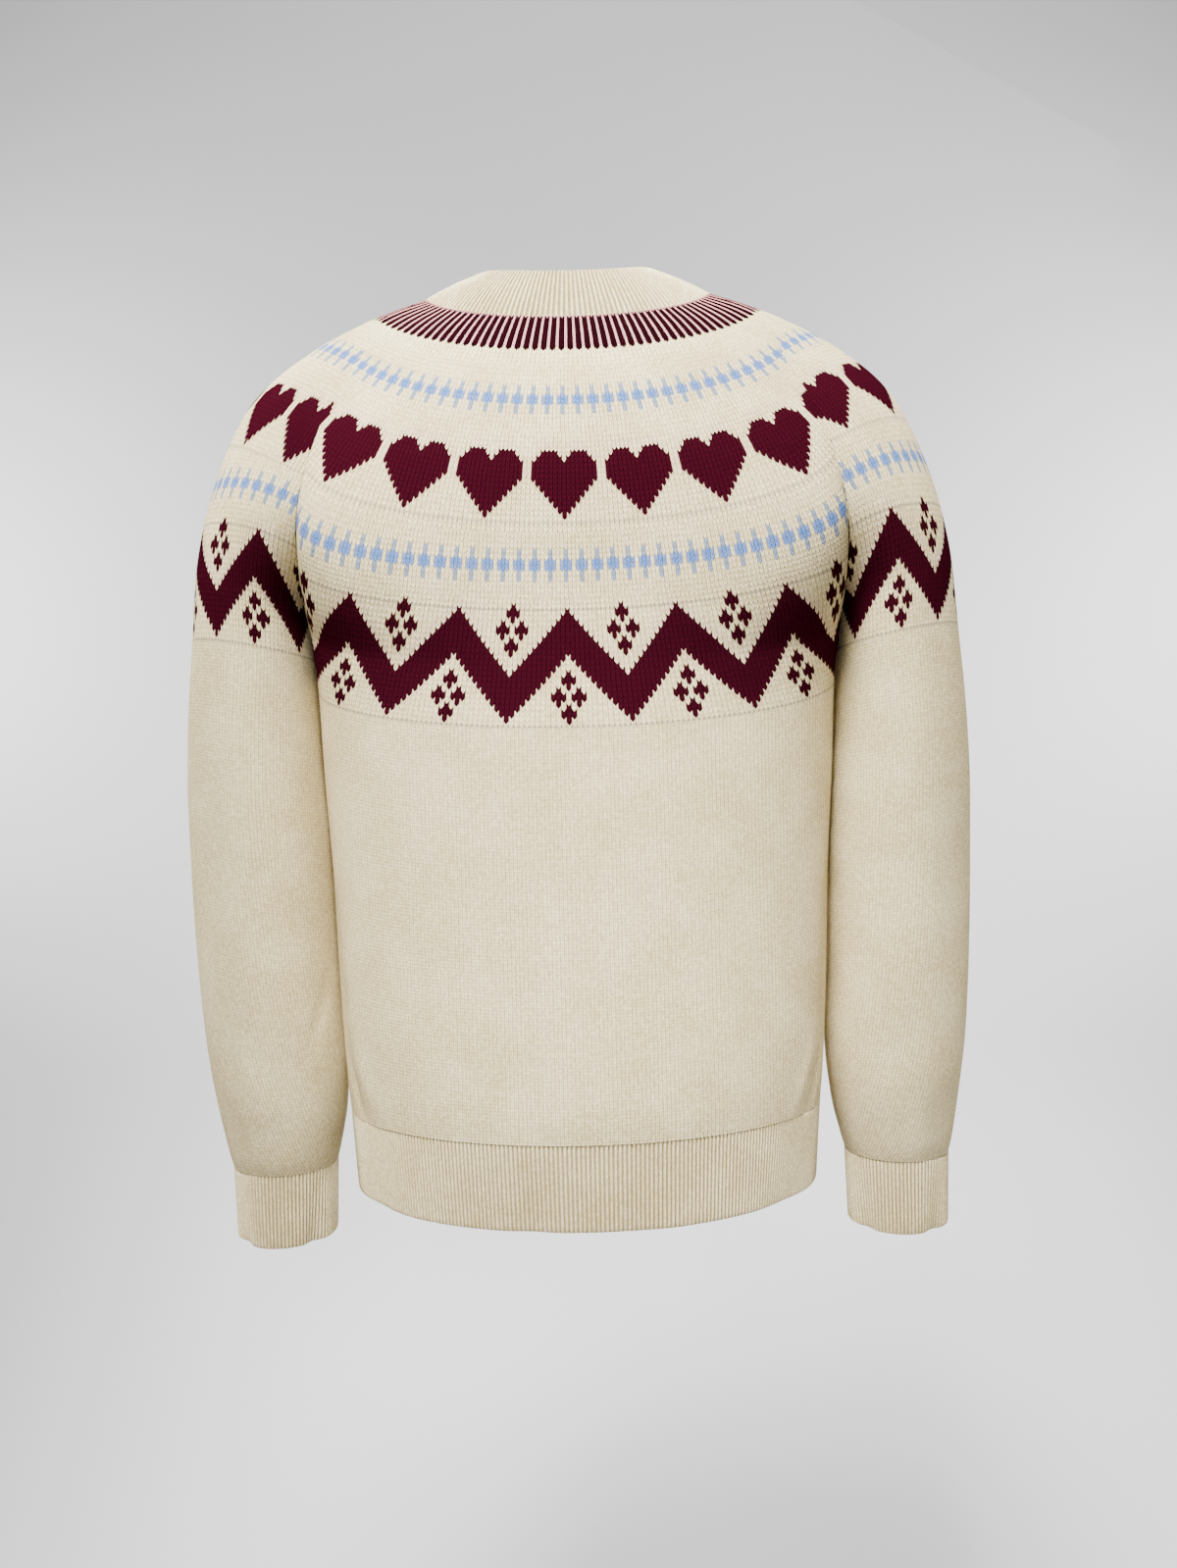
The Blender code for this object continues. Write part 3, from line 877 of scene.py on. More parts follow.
BODY_ZONES = (
    Zone(13.0, 4.5, 0.00270), Zone(27.0, 20.5, 0.00240), Zone(46.5, 37.0, 0.00283),
    Zone(58.0, 52.0, 0.00247), Zone(YOKE_END, 70.0, 0.00307, fan=0.004),
    Zone(HEM_COURSE, 113.0, 0.00260, square=0.0),
)
ARM_ZONES = (
    Zone(13.0, 4.5, 0.00270), Zone(27.0, 20.5, 0.00240), Zone(46.5, 37.0, 0.00285), Zone(58.0, 52.0, 0.00247),
    Zone(YOKE_END, 70.0, 0.00275, square=0.0, pins=((-0.139, 2.5), (-0.099, 0.0), (-0.073, 2.6), (0.0, 0.0))),
    Zone(CUFF_COURSE, 113.0, 0.00250, square=0.0),
)
LEFT_HEARTS = Zone(46.5, 37.0, 0.00285, pins=((-0.097, 0.0), (-0.058, 3.3), (0.0, 3.5), (0.060, 0.0)))


@dataclass(frozen=True)
class PatternedKnit(Wool):
    """The body's and sleeves' knit: cream with the yoke's pattern in two colours.

    The pattern is charted here by its own rules, one stitch and one row at a time.

    Fields:
        red, dark_red: the hearts, zigzag and diamonds, with the specks in them.
        stripe_red: the stripes below the neckband.
        blue, grey_blue: the middles and the bars of the small crosses.
        blush, stripe_blush: what the red wool lends to the cream beside it.
        line: the faint rows of dots between the bands.
        plain_rows: rows of plain knit to a course, below the pattern.
        stripe_rows, stripe_half: the rows of the stripes, and half a stripe in stitches.
        fuzzed: rows by which the edges of the zigzag and the diamonds grow.
        cross_starts, cross_repeat: first rows of the two bands, stitches to a cross.
        cross_bar, cross_middle: half widths and the rows of a cross's bar and middle.
        heart_start, heart_repeat: first row of the hearts, stitches to a heart.
        heart_half, heart_rows: the hearts' half width at the widest, and their rows.
        zigzag_start, zigzag_band: edge of the first row of the zigzag, and how many rows it is thick.
        zigzag_half: stitches from its peak to its dip.
        zigzag_ground: the course where its ground starts.
        diamond_rows: middle rows of the diamonds above and below the zigzag.
        diamond_reach: stitches and rows from a diamond's middle to its four crosses.
        small_cross: how far a diamond's cross reaches from its middle.
        line_courses: the rows of dots.
        line_fade: distances from its course at which a row of dots fades, in courses.
        dots: how much a row of dots takes between the stitches, and how much more on them.
        halos: how far the blush goes round the hearts and the zigzag, and its share.
        stripe_halo: the course where the stripes' blush ends, and its share.
        fibres: the stray fibres that speck the colours.
        specks: shares of the specks in the blue, the red, the diamonds and the stripes.
        cover: shares of the crosses' bars and middles, and of the rows of dots.
    """

    red: Colour = (0.034, 0.0026, 0.0078, 1.0)
    dark_red: Colour = (0.014, 0.0018, 0.0032, 1.0)
    stripe_red: Colour = (0.008, 0.0012, 0.0020, 1.0)
    blue: Colour = (0.038, 0.165, 0.520, 1.0)
    grey_blue: Colour = (0.080, 0.190, 0.390, 1.0)
    blush: Colour = (0.620, 0.370, 0.360, 1.0)
    stripe_blush: Colour = (0.560, 0.240, 0.260, 1.0)
    line: Colour = (0.300, 0.260, 0.200, 1.0)
    plain_rows: float = 1.667
    stripe_rows: tuple[float, float] = (0.0, 9.0)
    stripe_half: float = 0.70
    fuzzed: float = 0.25
    cross_starts: tuple[float, float] = (17.2, 48.9)
    cross_repeat: float = 4.0
    cross_bar: Point = (0.5, -0.5, 5.5)
    cross_middle: Point = (1.5, 1.5, 3.5)
    heart_start: float = 30.5
    heart_repeat: float = 17.0
    heart_half: float = 7.0
    heart_rows: float = 13.0
    zigzag_start: float = 59.3
    zigzag_band: float = 8.5
    zigzag_half: float = 12.0
    zigzag_ground: float = 58.0
    diamond_rows: tuple[float, float] = (63.2, 75.2)
    diamond_reach: tuple[float, float] = (2.0, 3.0)
    small_cross: float = 1.5
    line_courses: tuple[float, ...] = (44.6, 60.3, 81.2)
    line_fade: tuple[float, float] = (0.10, 0.45)
    dots: tuple[float, float] = (0.30, 1.4)
    halos: Point = (1.1, 1.5, 0.22)
    stripe_halo: tuple[float, float] = (8.6, 0.90)
    fibres: Speckle = Speckle(900.0, 1.0, 0.35, 0.70)
    specks: tuple[float, float, float, float] = (0.25, 0.30, 0.6, 0.4)
    cover: Point = (0.80, 0.92, 0.75)

    @staticmethod
    def rows(height: Value, start: float = 0.0) -> Value:
        """Return the row at a height, in whole rows from a start."""
        return (height - start).floor() + start if start else height.floor()

    def stripes(self, u: Value, row: Value) -> Value:
        """Return the mask of the upright stripes below the neckband."""
        first, last = self.stripe_rows
        return (u.fold(1.0) < self.stripe_half) & (row > first - 0.5) & (row < last - 0.5)

    def crosses(self, stitch: Value, height: Value, shape: Point) -> Value:
        """Return the mask of one part of the two bands of small crosses.

        Args:
            stitch: the stitch's number from the panel's middle.
            height: the slanted course.
            shape: the part's half width, and the rows that it lies between.

        Returns:
            The mask.
        """
        half, low, high = shape
        inside = stitch.fold(self.cross_repeat / 2) < half
        levels = (self.rows(height, start % 1.0) - start for start in self.cross_starts)
        return union(inside & (level > low) & (level < high) for level in levels)

    def hearts(self, stitch: Value, row: Value, grow: float = 0.0) -> Value:
        """Return the mask of the hearts.

        Args:
            stitch: the stitch's number from the panel's middle.
            row: the row's number in the yoke.
            grow: stitches by which the hearts are widened.

        Returns:
            The mask.
        """
        beside = stitch.fold(self.heart_repeat / 2)
        level = row - (self.heart_start - 1.0)
        # The notch is three stitches wide in the first row and one in the second.
        notch = ((level < 1.5) * 2.0) | ((level < 2.5) * 1.0)
        # The sides widen from five stitches off the middle, then close to the tip.
        reach = (level + 4.0) & self.heart_half & (self.heart_rows - level)
        inside = (beside > notch - 0.5 - grow) & (beside < reach + 0.5 + grow)
        return inside & (level > 0.5 - grow) & (level < self.heart_rows + 0.5 + grow)

    def zigzag(self, stitch: Value, row: Value, grow: float = 0.0) -> Value:
        """Return the mask of the zigzag band, widened by grow rows."""
        level = row - stitch.fold(self.zigzag_half) - self.zigzag_start
        return (level > -grow) & (level < self.zigzag_band + grow)

    def diamonds(self, stitch: Value, row: Value) -> Value:
        """Return the mask of the diamonds of four small crosses above and below it.

        Args:
            stitch: the stitch's number from the panel's middle.
            row: the row's number in the yoke.

        Returns:
            The mask.
        """
        below = stitch.fold(self.zigzag_half)
        above = below * -1.0 + self.zigzag_half
        aside, apart = self.diamond_reach
        masks = []
        for beside, centre in zip((above, below), self.diamond_rows):
            level = (row - centre).size()
            masks.append(((beside - aside).size() + level) < self.small_cross)
            masks.append((beside + (level - apart).size()) < self.small_cross)
        return union(masks)

    def lined(self, graph: Graph, colour: Value, u: Value, v: Value) -> Value:
        """Return a colour with the faint rows of dots over it.

        Args:
            graph: the material's graph.
            colour: what lies below the dots.
            u: stitches across.
            v: courses down.

        Returns:
            The colour.
        """
        low, gain = self.dots
        dots = u.fold(0.5) * gain + low
        for course in self.line_courses:
            thin = 1.0 - (v - course).size().ease(*self.line_fade)
            colour = graph.mix(thin * dots * self.cover[2], colour, self.line)
        return colour

    def build(self) -> bpy.types.Material:
        """Return the material.

        Returns:
            The panels' finish.
        """
        material, graph = new_material("panel_knit")
        place, u, v = self.coordinates(graph)
        phase = graph.node(
            "ShaderNodeAttribute", {"attribute_type": "GEOMETRY", "attribute_name": "half_repeat"},
        )
        stitch = (u + 0.5).floor()
        zag = stitch + graph.value(phase, "Fac") * self.zigzag_half
        across = (u - stitch).size() * 2.0
        dip = (1.0 - across) * self.stitch.slant
        height = v - dip
        ground = (v > self.zigzag_ground) & (v < YOKE_END)
        grown = [height + thick for thick in (-self.fuzzed, self.fuzzed)]
        hearts = self.hearts(stitch, self.rows(height, 0.5))
        zigzag = union(self.zigzag(zag, self.rows(thick)) for thick in grown) & ground
        offset = self.diamond_rows[0]
        diamonds = union(self.diamonds(zag, self.rows(thick, offset)) for thick in grown) & ground
        heart_halo, zigzag_halo, halo_share = self.halos
        near = self.hearts(u, v, heart_halo) | (self.zigzag(zag, v, zigzag_halo) & ground)
        colour = graph.mix(near * halo_share, self.speckled(graph, place), self.blush)
        end, share = self.stripe_halo
        colour = graph.mix((v < end) * share, colour, self.stripe_blush)
        colour = self.lined(graph, colour, u, v)
        noise = self.fibres.noise(graph, place)
        speck = self.fibres.over(noise)
        in_blue, in_red, in_diamonds, in_stripes = self.specks
        bars, middles = (self.crosses(stitch, height, part) for part in (self.cross_bar, self.cross_middle))
        layers = (
            (bars * self.cover[0], self.grey_blue),
            (middles * self.cover[1], graph.mix(speck * in_blue, self.blue, self.cream)),
            (hearts | zigzag, graph.mix(speck * in_red, self.red, self.dark_red)),
            (diamonds, graph.mix(speck * in_diamonds, self.red, self.dark_red)),
            (self.stripes(u, self.rows(height)), graph.mix(speck * in_stripes, self.stripe_red, self.red)),
        )
        for mask, wool in layers:
            colour = graph.mix(mask, colour, wool)
        fine_row = v * ((v > YOKE_END) * (self.plain_rows - 1.0) + 1.0) - dip
        yarn = self.stitch.grooves(across, fine_row)
        # Painted shade: the colour is darkened in the grooves between the yarn legs.
        colour = graph.darken(1.0 - yarn, colour, self.stitch.groove_shade)
        self.finish(graph, colour, yarn + noise * (self.stitch.fuzz / self.stitch.relief))
        return material


@dataclass(frozen=True)
class RibKnit(Wool):
    """The neckband's, hem's and cuffs' one by one rib, plain cream.

    Fields:
        groove, trough_shade_share: the colour of the painted shade in the troughs, and how much of it they
            take.
        trough_start: how far from a crest a trough starts, 0 to 1.
        crest_reach: how fast a stitch on a crest spreads to its edge.
        stitch_shade_share: how much painted shade the stitches' own grooves lay on the ribs.
        trough_fade: how much lower the stitches are in the troughs.
        crest_legs: where the stitches on a crest start in a leg, and how much they show.
    """

    groove_shade: Colour = (0.240, 0.170, 0.085, 1.0)
    trough_shade_share: float = 0.85
    trough_start: float = 0.45
    crest_reach: float = 1.6
    stitch_shade_share: float = 0.6
    trough_fade: float = 0.6
    crest_legs: tuple[float, float] = (0.1, 0.8)

    def build(self) -> bpy.types.Material:
        """Return the material.

        Returns:
            The ribs' finish.
        """
        material, graph = new_material("rib_knit")
        place, u, v = self.coordinates(graph)
        off_crest = u.fold(0.5) * 2.0
        across = (off_crest * self.crest_reach).math("MINIMUM", 1.0)
        row = v - (1.0 - across) * self.stitch.slant
        first, shown = self.crest_legs
        yarn = self.stitch.grooves(across * shown + first, row)
        trough = off_crest.ease(self.trough_start, 1.0)
        # Painted shade: the troughs between the ribs are darkened in the colour.
        colour = graph.mix(trough * self.trough_shade_share, self.speckled(graph, place), self.groove_shade)
        # Painted shade: the grooves between the stitches' legs are darkened in the colour too.
        colour = graph.darken((1.0 - yarn) * self.stitch_shade_share, colour, self.stitch.groove_shade)
        self.finish(graph, colour, yarn * (1.0 - trough * self.trough_fade))
        return material


@dataclass(frozen=True)
class StudioPaper:
    """The pale paper of the floor and the backdrop."""

    colour: Colour = (0.66, 0.66, 0.665, 1.0)
    roughness: float = 0.95
    specular: float = 0.1

    def build(self) -> bpy.types.Material:
        """Return the material.

        Returns:
            The paper's finish.
        """
        material, graph = new_material("studio_paper")
        shader = graph.node("ShaderNodeBsdfPrincipled", {}, {
            "Base Color": self.colour, "Roughness": self.roughness, "Specular IOR Level": self.specular,
        })
        graph.node("ShaderNodeOutputMaterial", {}, {"Surface": graph.value(shader)})
        return material


@dataclass(frozen=True)
class Finishes:
    """The finishes, each built once."""

    panel: bpy.types.Material
    rib: bpy.types.Material
    paper: bpy.types.Material


@dataclass
class Cloth:
    """Points, faces and knit coordinates of one closed piece of cloth."""

    points: np.ndarray
    quads: np.ndarray
    knit: np.ndarray

    def mesh(self, name: str) -> bpy.types.Mesh:
        """Return the mesh, its faces pointing out.

        Args:
            name: the mesh's name.

        Returns:
            The mesh, with its knit coordinates as a UV map.
        """
        corners = self.points[self.quads]
        cross = np.cross(corners[:, 2] - corners[:, 0], corners[:, 3] - corners[:, 1])
        volume = np.einsum("ij,ij->", corners.mean(axis=1), cross)
        quads, knit = self.quads, self.knit
        if volume < 0:
            quads, knit = quads[:, ::-1], knit[:, ::-1]
        mesh = bpy.data.meshes.new(name)
        mesh.from_pydata(self.points.tolist(), [], quads.tolist())
        layer = mesh.uv_layers.new(name="knit")
        layer.data.foreach_set("uv", np.ascontiguousarray(knit, dtype=np.float32).ravel())
        mesh.shade_smooth()
        mesh.set_sharp_from_angle(angle=SHARP_ANGLE)
        mesh.update()
        return mesh


def wall_quads(rows: int, columns: int, closed: bool) -> np.ndarray:
    """Return the faces of two equal grids, one under the other, with their rims.

    Args:
        rows: rows of each grid.
        columns: columns of each grid.
        closed: whether each row is a ring.

    Returns:
        An array of four point numbers a face.
    """
    index = np.arange(rows * columns).reshape(rows, columns)
    if closed:
        index = np.hstack((index, index[:, :1]))
    under = index + rows * columns
    a, b, c, d = index[:-1, :-1], index[:-1, 1:], index[1:, 1:], index[1:, :-1]
    faces = [np.stack((a, b, c, d), axis=-1).reshape(-1, 4)]
    a, b, c, d = under[:-1, :-1], under[:-1, 1:], under[1:, 1:], under[1:, :-1]
    faces.append(np.stack((a, d, c, b), axis=-1).reshape(-1, 4))
    rims = [index[0], index[-1, ::-1]]
    if not closed:
        rims = [index[0], index[:, -1], index[-1, ::-1], index[::-1, 0]]
    for rim in rims:
        first, second = rim[:-1], rim[1:]
        low = rows * columns
        faces.append(np.stack((first, first + low, second + low, second), axis=-1))
    return np.concatenate(faces)


@dataclass
class Panel:
    """A knitted panel: its outer face follows the courses and its edges meet at seams.

    Fields:
        node: the CAD node that it stands for.
        cut: the garment's shape.
        zones: runs of courses with their stitch widths.
        columns: steps along a row.
        row_step: courses between two rows of points.
        outward: 1 or -1, the side of the grid that is the outer face.
        flat: width and length of the cut, in metres; not used.
        area: the cut's flat area in square metres; not used.
        seam_roll, roll_width: depth and width of the roll of an edge into its seam.
        roll_start: the course where that roll starts.
        underarm_row: the course of the knit that gets a row of points at the underarm.
        shift: how far the pattern's middle lies aside from the panel's, in metres.
        spread, spread_at: share by which the stitches are wider, at a distance aside.
        half_repeat: 1 where the zigzag starts half a repeat on, or else 0.
        lift: courses of the knit, with how many courses above the shape's they lie in
            the middle, at the low edge and at the high edge.
        dense: courses between the rows that are read from the shape.
        edge_shares: shares of the columns beside the seams.
    """

    node: str
    cut: Cut
    zones: tuple[Zone, ...]
    columns: int
    flat: tuple[float, float]
    area: float
    row_step: float = 1.15
    outward: float = -1.0
    seam_roll: float = 0.0009
    roll_width: float = 0.0040
    roll_start: float = 34.0
    underarm_row: float = UNDERARM
    shift: float = 0.0
    spread: float = 0.0
    spread_at: float = 0.155
    half_repeat: float = 0.0
    lift: Lifts = ((0.0, 0.0, 0.0, 0.0),)
    dense: float = 0.5
    edge_shares: tuple[float, ...] = (0.995, 0.985)

    def courses(self) -> np.ndarray:
        """Return the rows' courses, with one at each zone's limit and the underarm.

        Returns:
            One course a row of points.
        """
        limits = sorted({0.0, self.underarm_row, *(zone.end for zone in self.zones)})
        runs = []
        for low, high in zip(limits[:-1], limits[1:]):
            count = max(2, round((high - low) / self.row_step))
            runs.append(np.linspace(low, high, count + 1)[:-1])
        return np.append(np.concatenate(runs), limits[-1])

    def shares(self) -> np.ndarray:
        """Return the columns' shares, closer together beside the seams.

        Returns:
            One share a column of points.
        """
        even = np.linspace(-1.0, 1.0, self.columns + 1)
        edge = np.array(self.edge_shares)
        return np.unique(np.concatenate((even, edge, -edge)))

    def levels(self, courses: np.ndarray, shares: np.ndarray) -> np.ndarray:
        """Return the shape's course at each point of the knit's rows.

        Args:
            courses: courses of the knit's rows.
            shares: shares of the columns.

        Returns:
            One course a point.
        """
        at, middle, low, high = np.array(self.lift).T
        middle, low, high = (np.interp(courses, at, column)[:, None] for column in (middle, low, high))
        edge = np.where(shares > 0, high, low)
        return courses[:, None] - middle - (edge - middle) * (1.0 - np.cos(math.pi * shares)) / 2

    def grid(self, courses: np.ndarray, shares: np.ndarray) -> np.ndarray:
        """Return the outer points before the folds, one row a course of the knit.

        Args:
            courses: courses of the knit's rows.
            shares: shares of the columns.

        Returns:
            The points, by row and column.
        """
        steps = np.append(np.arange(0.0, courses[-1], self.dense), courses[-1])
        base = np.array([self.row(course, shares) for course in steps])
        levels = self.levels(courses, shares)
        found = np.empty((len(courses), len(shares), 3))
        for j in range(len(shares)):
            for k in range(3):
                found[:, j, k] = np.interp(levels[:, j], steps, base[:, j, k])
        return found

    def row(self, course: float, shares: np.ndarray) -> np.ndarray:
        """Return a course's points before its folds."""
        raise NotImplementedError

    def planes(self, course: float, column: int) -> list[tuple[np.ndarray, float]]:
        """Return the seam planes at an edge point, each with half its gap."""
        raise NotImplementedError

    def normals(self, grid: np.ndarray) -> np.ndarray:
        """Return the grid's unit normals on its outer side."""
        cross = np.cross(np.gradient(grid, axis=1), np.gradient(grid, axis=0))
        return self.outward * unit(cross)

    def arcs(self, grid: np.ndarray, shares: np.ndarray) -> np.ndarray:
        """Return every point's signed distance along its row from the middle line.

        Args:
            grid: the outer points.
            shares: shares of the columns.

        Returns:
            One distance a point.
        """
        steps = np.linalg.norm(np.diff(grid, axis=1), axis=2)
        length = np.hstack((np.zeros((len(grid), 1)), np.cumsum(steps, axis=1)))
        return length - length[:, [int(np.argmin(np.abs(shares)))]]

    def folded(self, grid: np.ndarray, courses: np.ndarray, arcs: np.ndarray) -> np.ndarray:
        """Return the grid with its folds and the roll of its edges into the seams.

        Args:
            grid: the outer points.
            courses: courses of the knit's rows.
            arcs: their distances along the rows.

        Returns:
            The folded points.
        """
        rise = np.zeros(grid.shape[:2])
        for i, course in enumerate(courses):
            half = arcs[i, -1]
            for fold in FOLDS[self.node]:
                rise[i] += fold.lift(course, arcs[i], half)
            ends = np.where(arcs[i] > 0, arcs[i, -1], -arcs[i, 0])
            deep = np.clip((course - self.roll_start) / (UNDERARM - self.roll_start), 0.0, 1.0)
            rise[i] -= deep * self.seam_roll * np.exp(-((ends - np.abs(arcs[i])) / self.roll_width) ** 2)
        return grid + self.normals(grid) * rise[:, :, None]

    def partings(self, grid: np.ndarray, courses: np.ndarray) -> dict[tuple[int, int], list]:
        """Return the seam planes of the panel's edges, by place in the grid.

        Args:
            grid: the outer points.
            courses: courses of the knit's rows.

        Returns:
            The planes with half their gaps, by place.
        """
        last_row, last_column = len(courses) - 1, grid.shape[1] - 1
        found: dict[tuple[int, int], list] = {}
        for j in range(last_column + 1):
            nearest = np.argmin(np.linalg.norm(NECK_SEAM - grid[0, j], axis=1))
            way = unit(NECK_DOWN[nearest] - unit(NECK_TOP[nearest] - NECK_SEAM[nearest]))
            found[0, j] = [(way, SEAM_GAP / 2)]
            found[last_row, j] = [(np.array((0.0, 0.0, 1.0)), SEAM_GAP / 2)]
        for j in (0, last_column):
            for i, level in enumerate(self.levels(courses, self.shares())[:, j]):
                found.setdefault((i, j), []).extend(self.planes(float(level), j))
        return found

    def wales(self, grid: np.ndarray, arcs: np.ndarray, courses: np.ndarray, zone: Zone) -> np.ndarray:
        """Return the stitch count at each point, with the wales square to the rows.

        Args:
            grid: the outer points.
            arcs: their distances from the middle line.
            courses: the rows' courses.
            zone: the zone whose stitches are counted.

        Returns:
            Stitches from the pattern's middle, for the whole grid.
        """
        start = int(np.argmin(np.abs(courses - zone.middle)))
        counts = np.zeros(grid.shape[:2])
        around = arcs[start] - self.shift
        counts[start] = around / (1.0 + self.spread * (around / self.spread_at) ** 2) / zone.width
        counts[start] += np.interp(around, *np.array(zone.pins).T)
        for way in (1, -1):
            row = start
            while 0 <= row + way < len(courses):
                last, row = row, row + way
                along = unit(np.gradient(grid[row], axis=0))
                straight = arcs[row] - arcs[last]
                drift = np.einsum("ij,ij->i", grid[row] - grid[last], along)
                drift = zone.square * drift + (1.0 - zone.square) * straight
                feet = np.maximum.accumulate(arcs[row] - drift)
                low = counts[last, 0] + (arcs[row] - feet[0]) / zone.width
                high = counts[last, -1] + (arcs[row] - feet[-1]) / zone.width
                counts[row] = np.interp(arcs[row], feet, counts[last])
                counts[row] = np.where(arcs[row] < feet[0], low, counts[row])
                counts[row] = np.where(arcs[row] > feet[-1], high, counts[row])
        return counts / (1.0 + zone.fan * (courses[:, None] - zone.middle))

    def wall(self, grid: np.ndarray, courses: np.ndarray) -> tuple[np.ndarray, np.ndarray]:
        """Return the outer and the inner grid of the wall.

        Args:
            grid: the folded outer points.
            courses: courses of the knit's rows.

        Returns:
            The two grids.
        """
        normals = self.normals(grid)
        outer, inner = grid.copy(), grid - WALL * normals
        for (i, j), planes in self.partings(grid, courses).items():
            outer[i, j] = grid[i, j] + sum(gap * plane for plane, gap in planes)
            way = normals[i, j].copy()
            for plane, _ in planes:
                way = way - way.dot(plane) * plane
            square = way.dot(normals[i, j])
            way = normals[i, j] if square < LEAST_SQUARENESS else way / square
            inner[i, j] = outer[i, j] - WALL * way
        return outer, inner

    def placed(self, points: np.ndarray) -> np.ndarray:
        """Return the points where the piece hangs."""
        return points

    def cloth(self) -> Cloth:
        """Return the finished piece with its knit coordinates.

        Returns:
            The cloth. U counts stitches from the middle line and V counts courses.
        """
        courses, shares = self.courses(), self.shares()
        grid = self.grid(courses, shares)
        arcs = self.arcs(grid, shares)
        outer, inner = self.wall(self.folded(grid, courses, arcs), courses)
        quads = wall_quads(len(courses), len(shares), closed=False)
        place = quads % (len(courses) * len(shares))
        rows, columns = place // len(shares), place % len(shares)
        ends = np.array([zone.end for zone in self.zones])
        which = np.clip(np.searchsorted(ends, courses[rows].mean(axis=1)), 0, len(ends) - 1)
        counts = np.array([self.wales(grid, arcs, courses, zone) for zone in self.zones])
        knit = np.stack((counts[which[:, None], rows, columns], courses[rows]), axis=-1)
        LOG.info(
            "%s: middle %.3f m, widest %.3f m long", self.node,
            np.linalg.norm(np.diff(grid[:, len(shares) // 2], axis=0), axis=1).sum(), 2 * arcs[:, -1].max(),
        )
        points = np.concatenate((outer.reshape(-1, 3), inner.reshape(-1, 3)))
        return Cloth(self.placed(points), quads, knit)

    def build(self, finish: bpy.types.Material) -> bpy.types.Object:
        """Add the panel to the scene.

        Args:
            finish: its material.

        Returns:
            The object.
        """
        mesh = self.cloth().mesh(f"{self.node}_cloth")
        repeat = mesh.attributes.new("half_repeat", "FLOAT", "POINT")
        repeat.data.foreach_set("value", np.full(len(mesh.vertices), self.half_repeat))
        mesh.materials.append(finish)
        return dress(mesh, self.node)


@dataclass
class BodyPanel(Panel):
    """The back or the front, from the neck seam to the hem rib.

    Fields:
        face: which of the two it is.
    """

    face: Face = Face.BACK

    def row(self, course: float, shares: np.ndarray) -> np.ndarray:
        """Return a course's points from the left edge to the right one."""
        return self.cut.body_row(course, shares, self.face)

    def planes(self, course: float, column: int) -> list[tuple[np.ndarray, float]]:
        """Return the planes of the raglan seam and the side seam.

        Args:
            course: the shape's course.
            column: 0 at the low edge.

        Returns:
            The planes' unit vectors, each with half its gap.
        """
        found = []
        if course <= UNDERARM:
            mirror = np.array((1.0 if column else -1.0, 1.0, 1.0))
            found.append((self.cut.raglan_parting(course, self.face) * mirror, seam_gap(course)))
        if course >= UNDERARM:
            found.append((np.array((0.0, self.face.value, 0.0)), SEAM_GAP / 2))
        return found


@dataclass
class Sleeve(Panel):
    """A sleeve, from the neck seam over the shoulder to the cuff.

    Its rows of knit lie higher at the raglan seams than the body's rows that they meet.

    Fields:
        side: the side that it hangs on.
    """

    side: Side = Side.RIGHT

    def row(self, course: float, shares: np.ndarray) -> np.ndarray:
        """Return a course's points from the back edge over the outer line to the front."""
        return self.cut.sleeve_row(course, shares)

    def planes(self, course: float, column: int) -> list[tuple[np.ndarray, float]]:
        """Return the planes of the raglan seam and the sleeve's own seam.

        Args:
            course: the shape's course.
            column: 0 at the low edge.

        Returns:
            The planes' unit vectors, each with half its gap.
        """
        face = Face.FRONT if column else Face.BACK
        found = []
        if course <= UNDERARM:
            found.append((-self.cut.raglan_parting(course, face), seam_gap(course)))
        if course >= UNDERARM:
            found.append((np.array((0.0, face.value, 0.0)), SEAM_GAP / 2))
        return found

    def placed(self, points: np.ndarray) -> np.ndarray:
        """Return the points on the sleeve's own side, swayed as it hangs."""
        return self.cut.swayed(points * (self.side.value, 1.0, 1.0))


def seam_gap(course: float) -> float:
    """Return half the gap across a raglan seam: drawn tight above, wider in the crease."""
    share = float(np.clip((course - CREASE_START) / (UNDERARM - CREASE_START), 0.0, 1.0))
    return 0.5 * (TIGHT_GAP + (CREASE_GAP - TIGHT_GAP) * share)


def dress(
    mesh: bpy.types.Mesh, node: str,
) -> bpy.types.Object:
    """Put a cloth piece into the scene in the place of its CAD node.

    Args:
        mesh: the piece, its place in its points.
        node: the CAD node that it stands for.

    Returns:
        The object.
    """
    piece = bpy.data.objects.new(mesh.name, mesh)
    bpy.context.scene.collection.objects.link(piece)
    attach(piece, "root")
    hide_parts(node)
    LOG.info("%s: %d faces for %s", piece.name, len(mesh.polygons), node)
    return piece


RIB_ATTRIBUTES = {"rib_count": "FLOAT", "rib_share": "FLOAT", "rib_outward": "FLOAT_VECTOR"}


def new_tree(name: str, sizes: Sequence[str]) -> tuple[bpy.types.NodeTree, dict[str, str]]:
    """Return a Geometry Nodes tree with its named inputs.

    Args:
        name: the tree's name.
        sizes: the names of its sizes.

    Returns:
        The tree, and the identifiers of its sizes and its finish by name.
    """
    tree = bpy.data.node_groups.new(name, "GeometryNodeTree")
    sides = tree.interface
    sides.new_socket("Geometry", in_out="INPUT", socket_type="NodeSocketGeometry")
    keys = {
        size: sides.new_socket(size, in_out="INPUT", socket_type="NodeSocketFloat").identifier
        for size in sizes
    }
    keys["Finish"] = sides.new_socket("Finish", in_out="INPUT", socket_type="NodeSocketMaterial").identifier
    sides.new_socket("Geometry", in_out="OUTPUT", socket_type="NodeSocketGeometry")
    return tree, keys


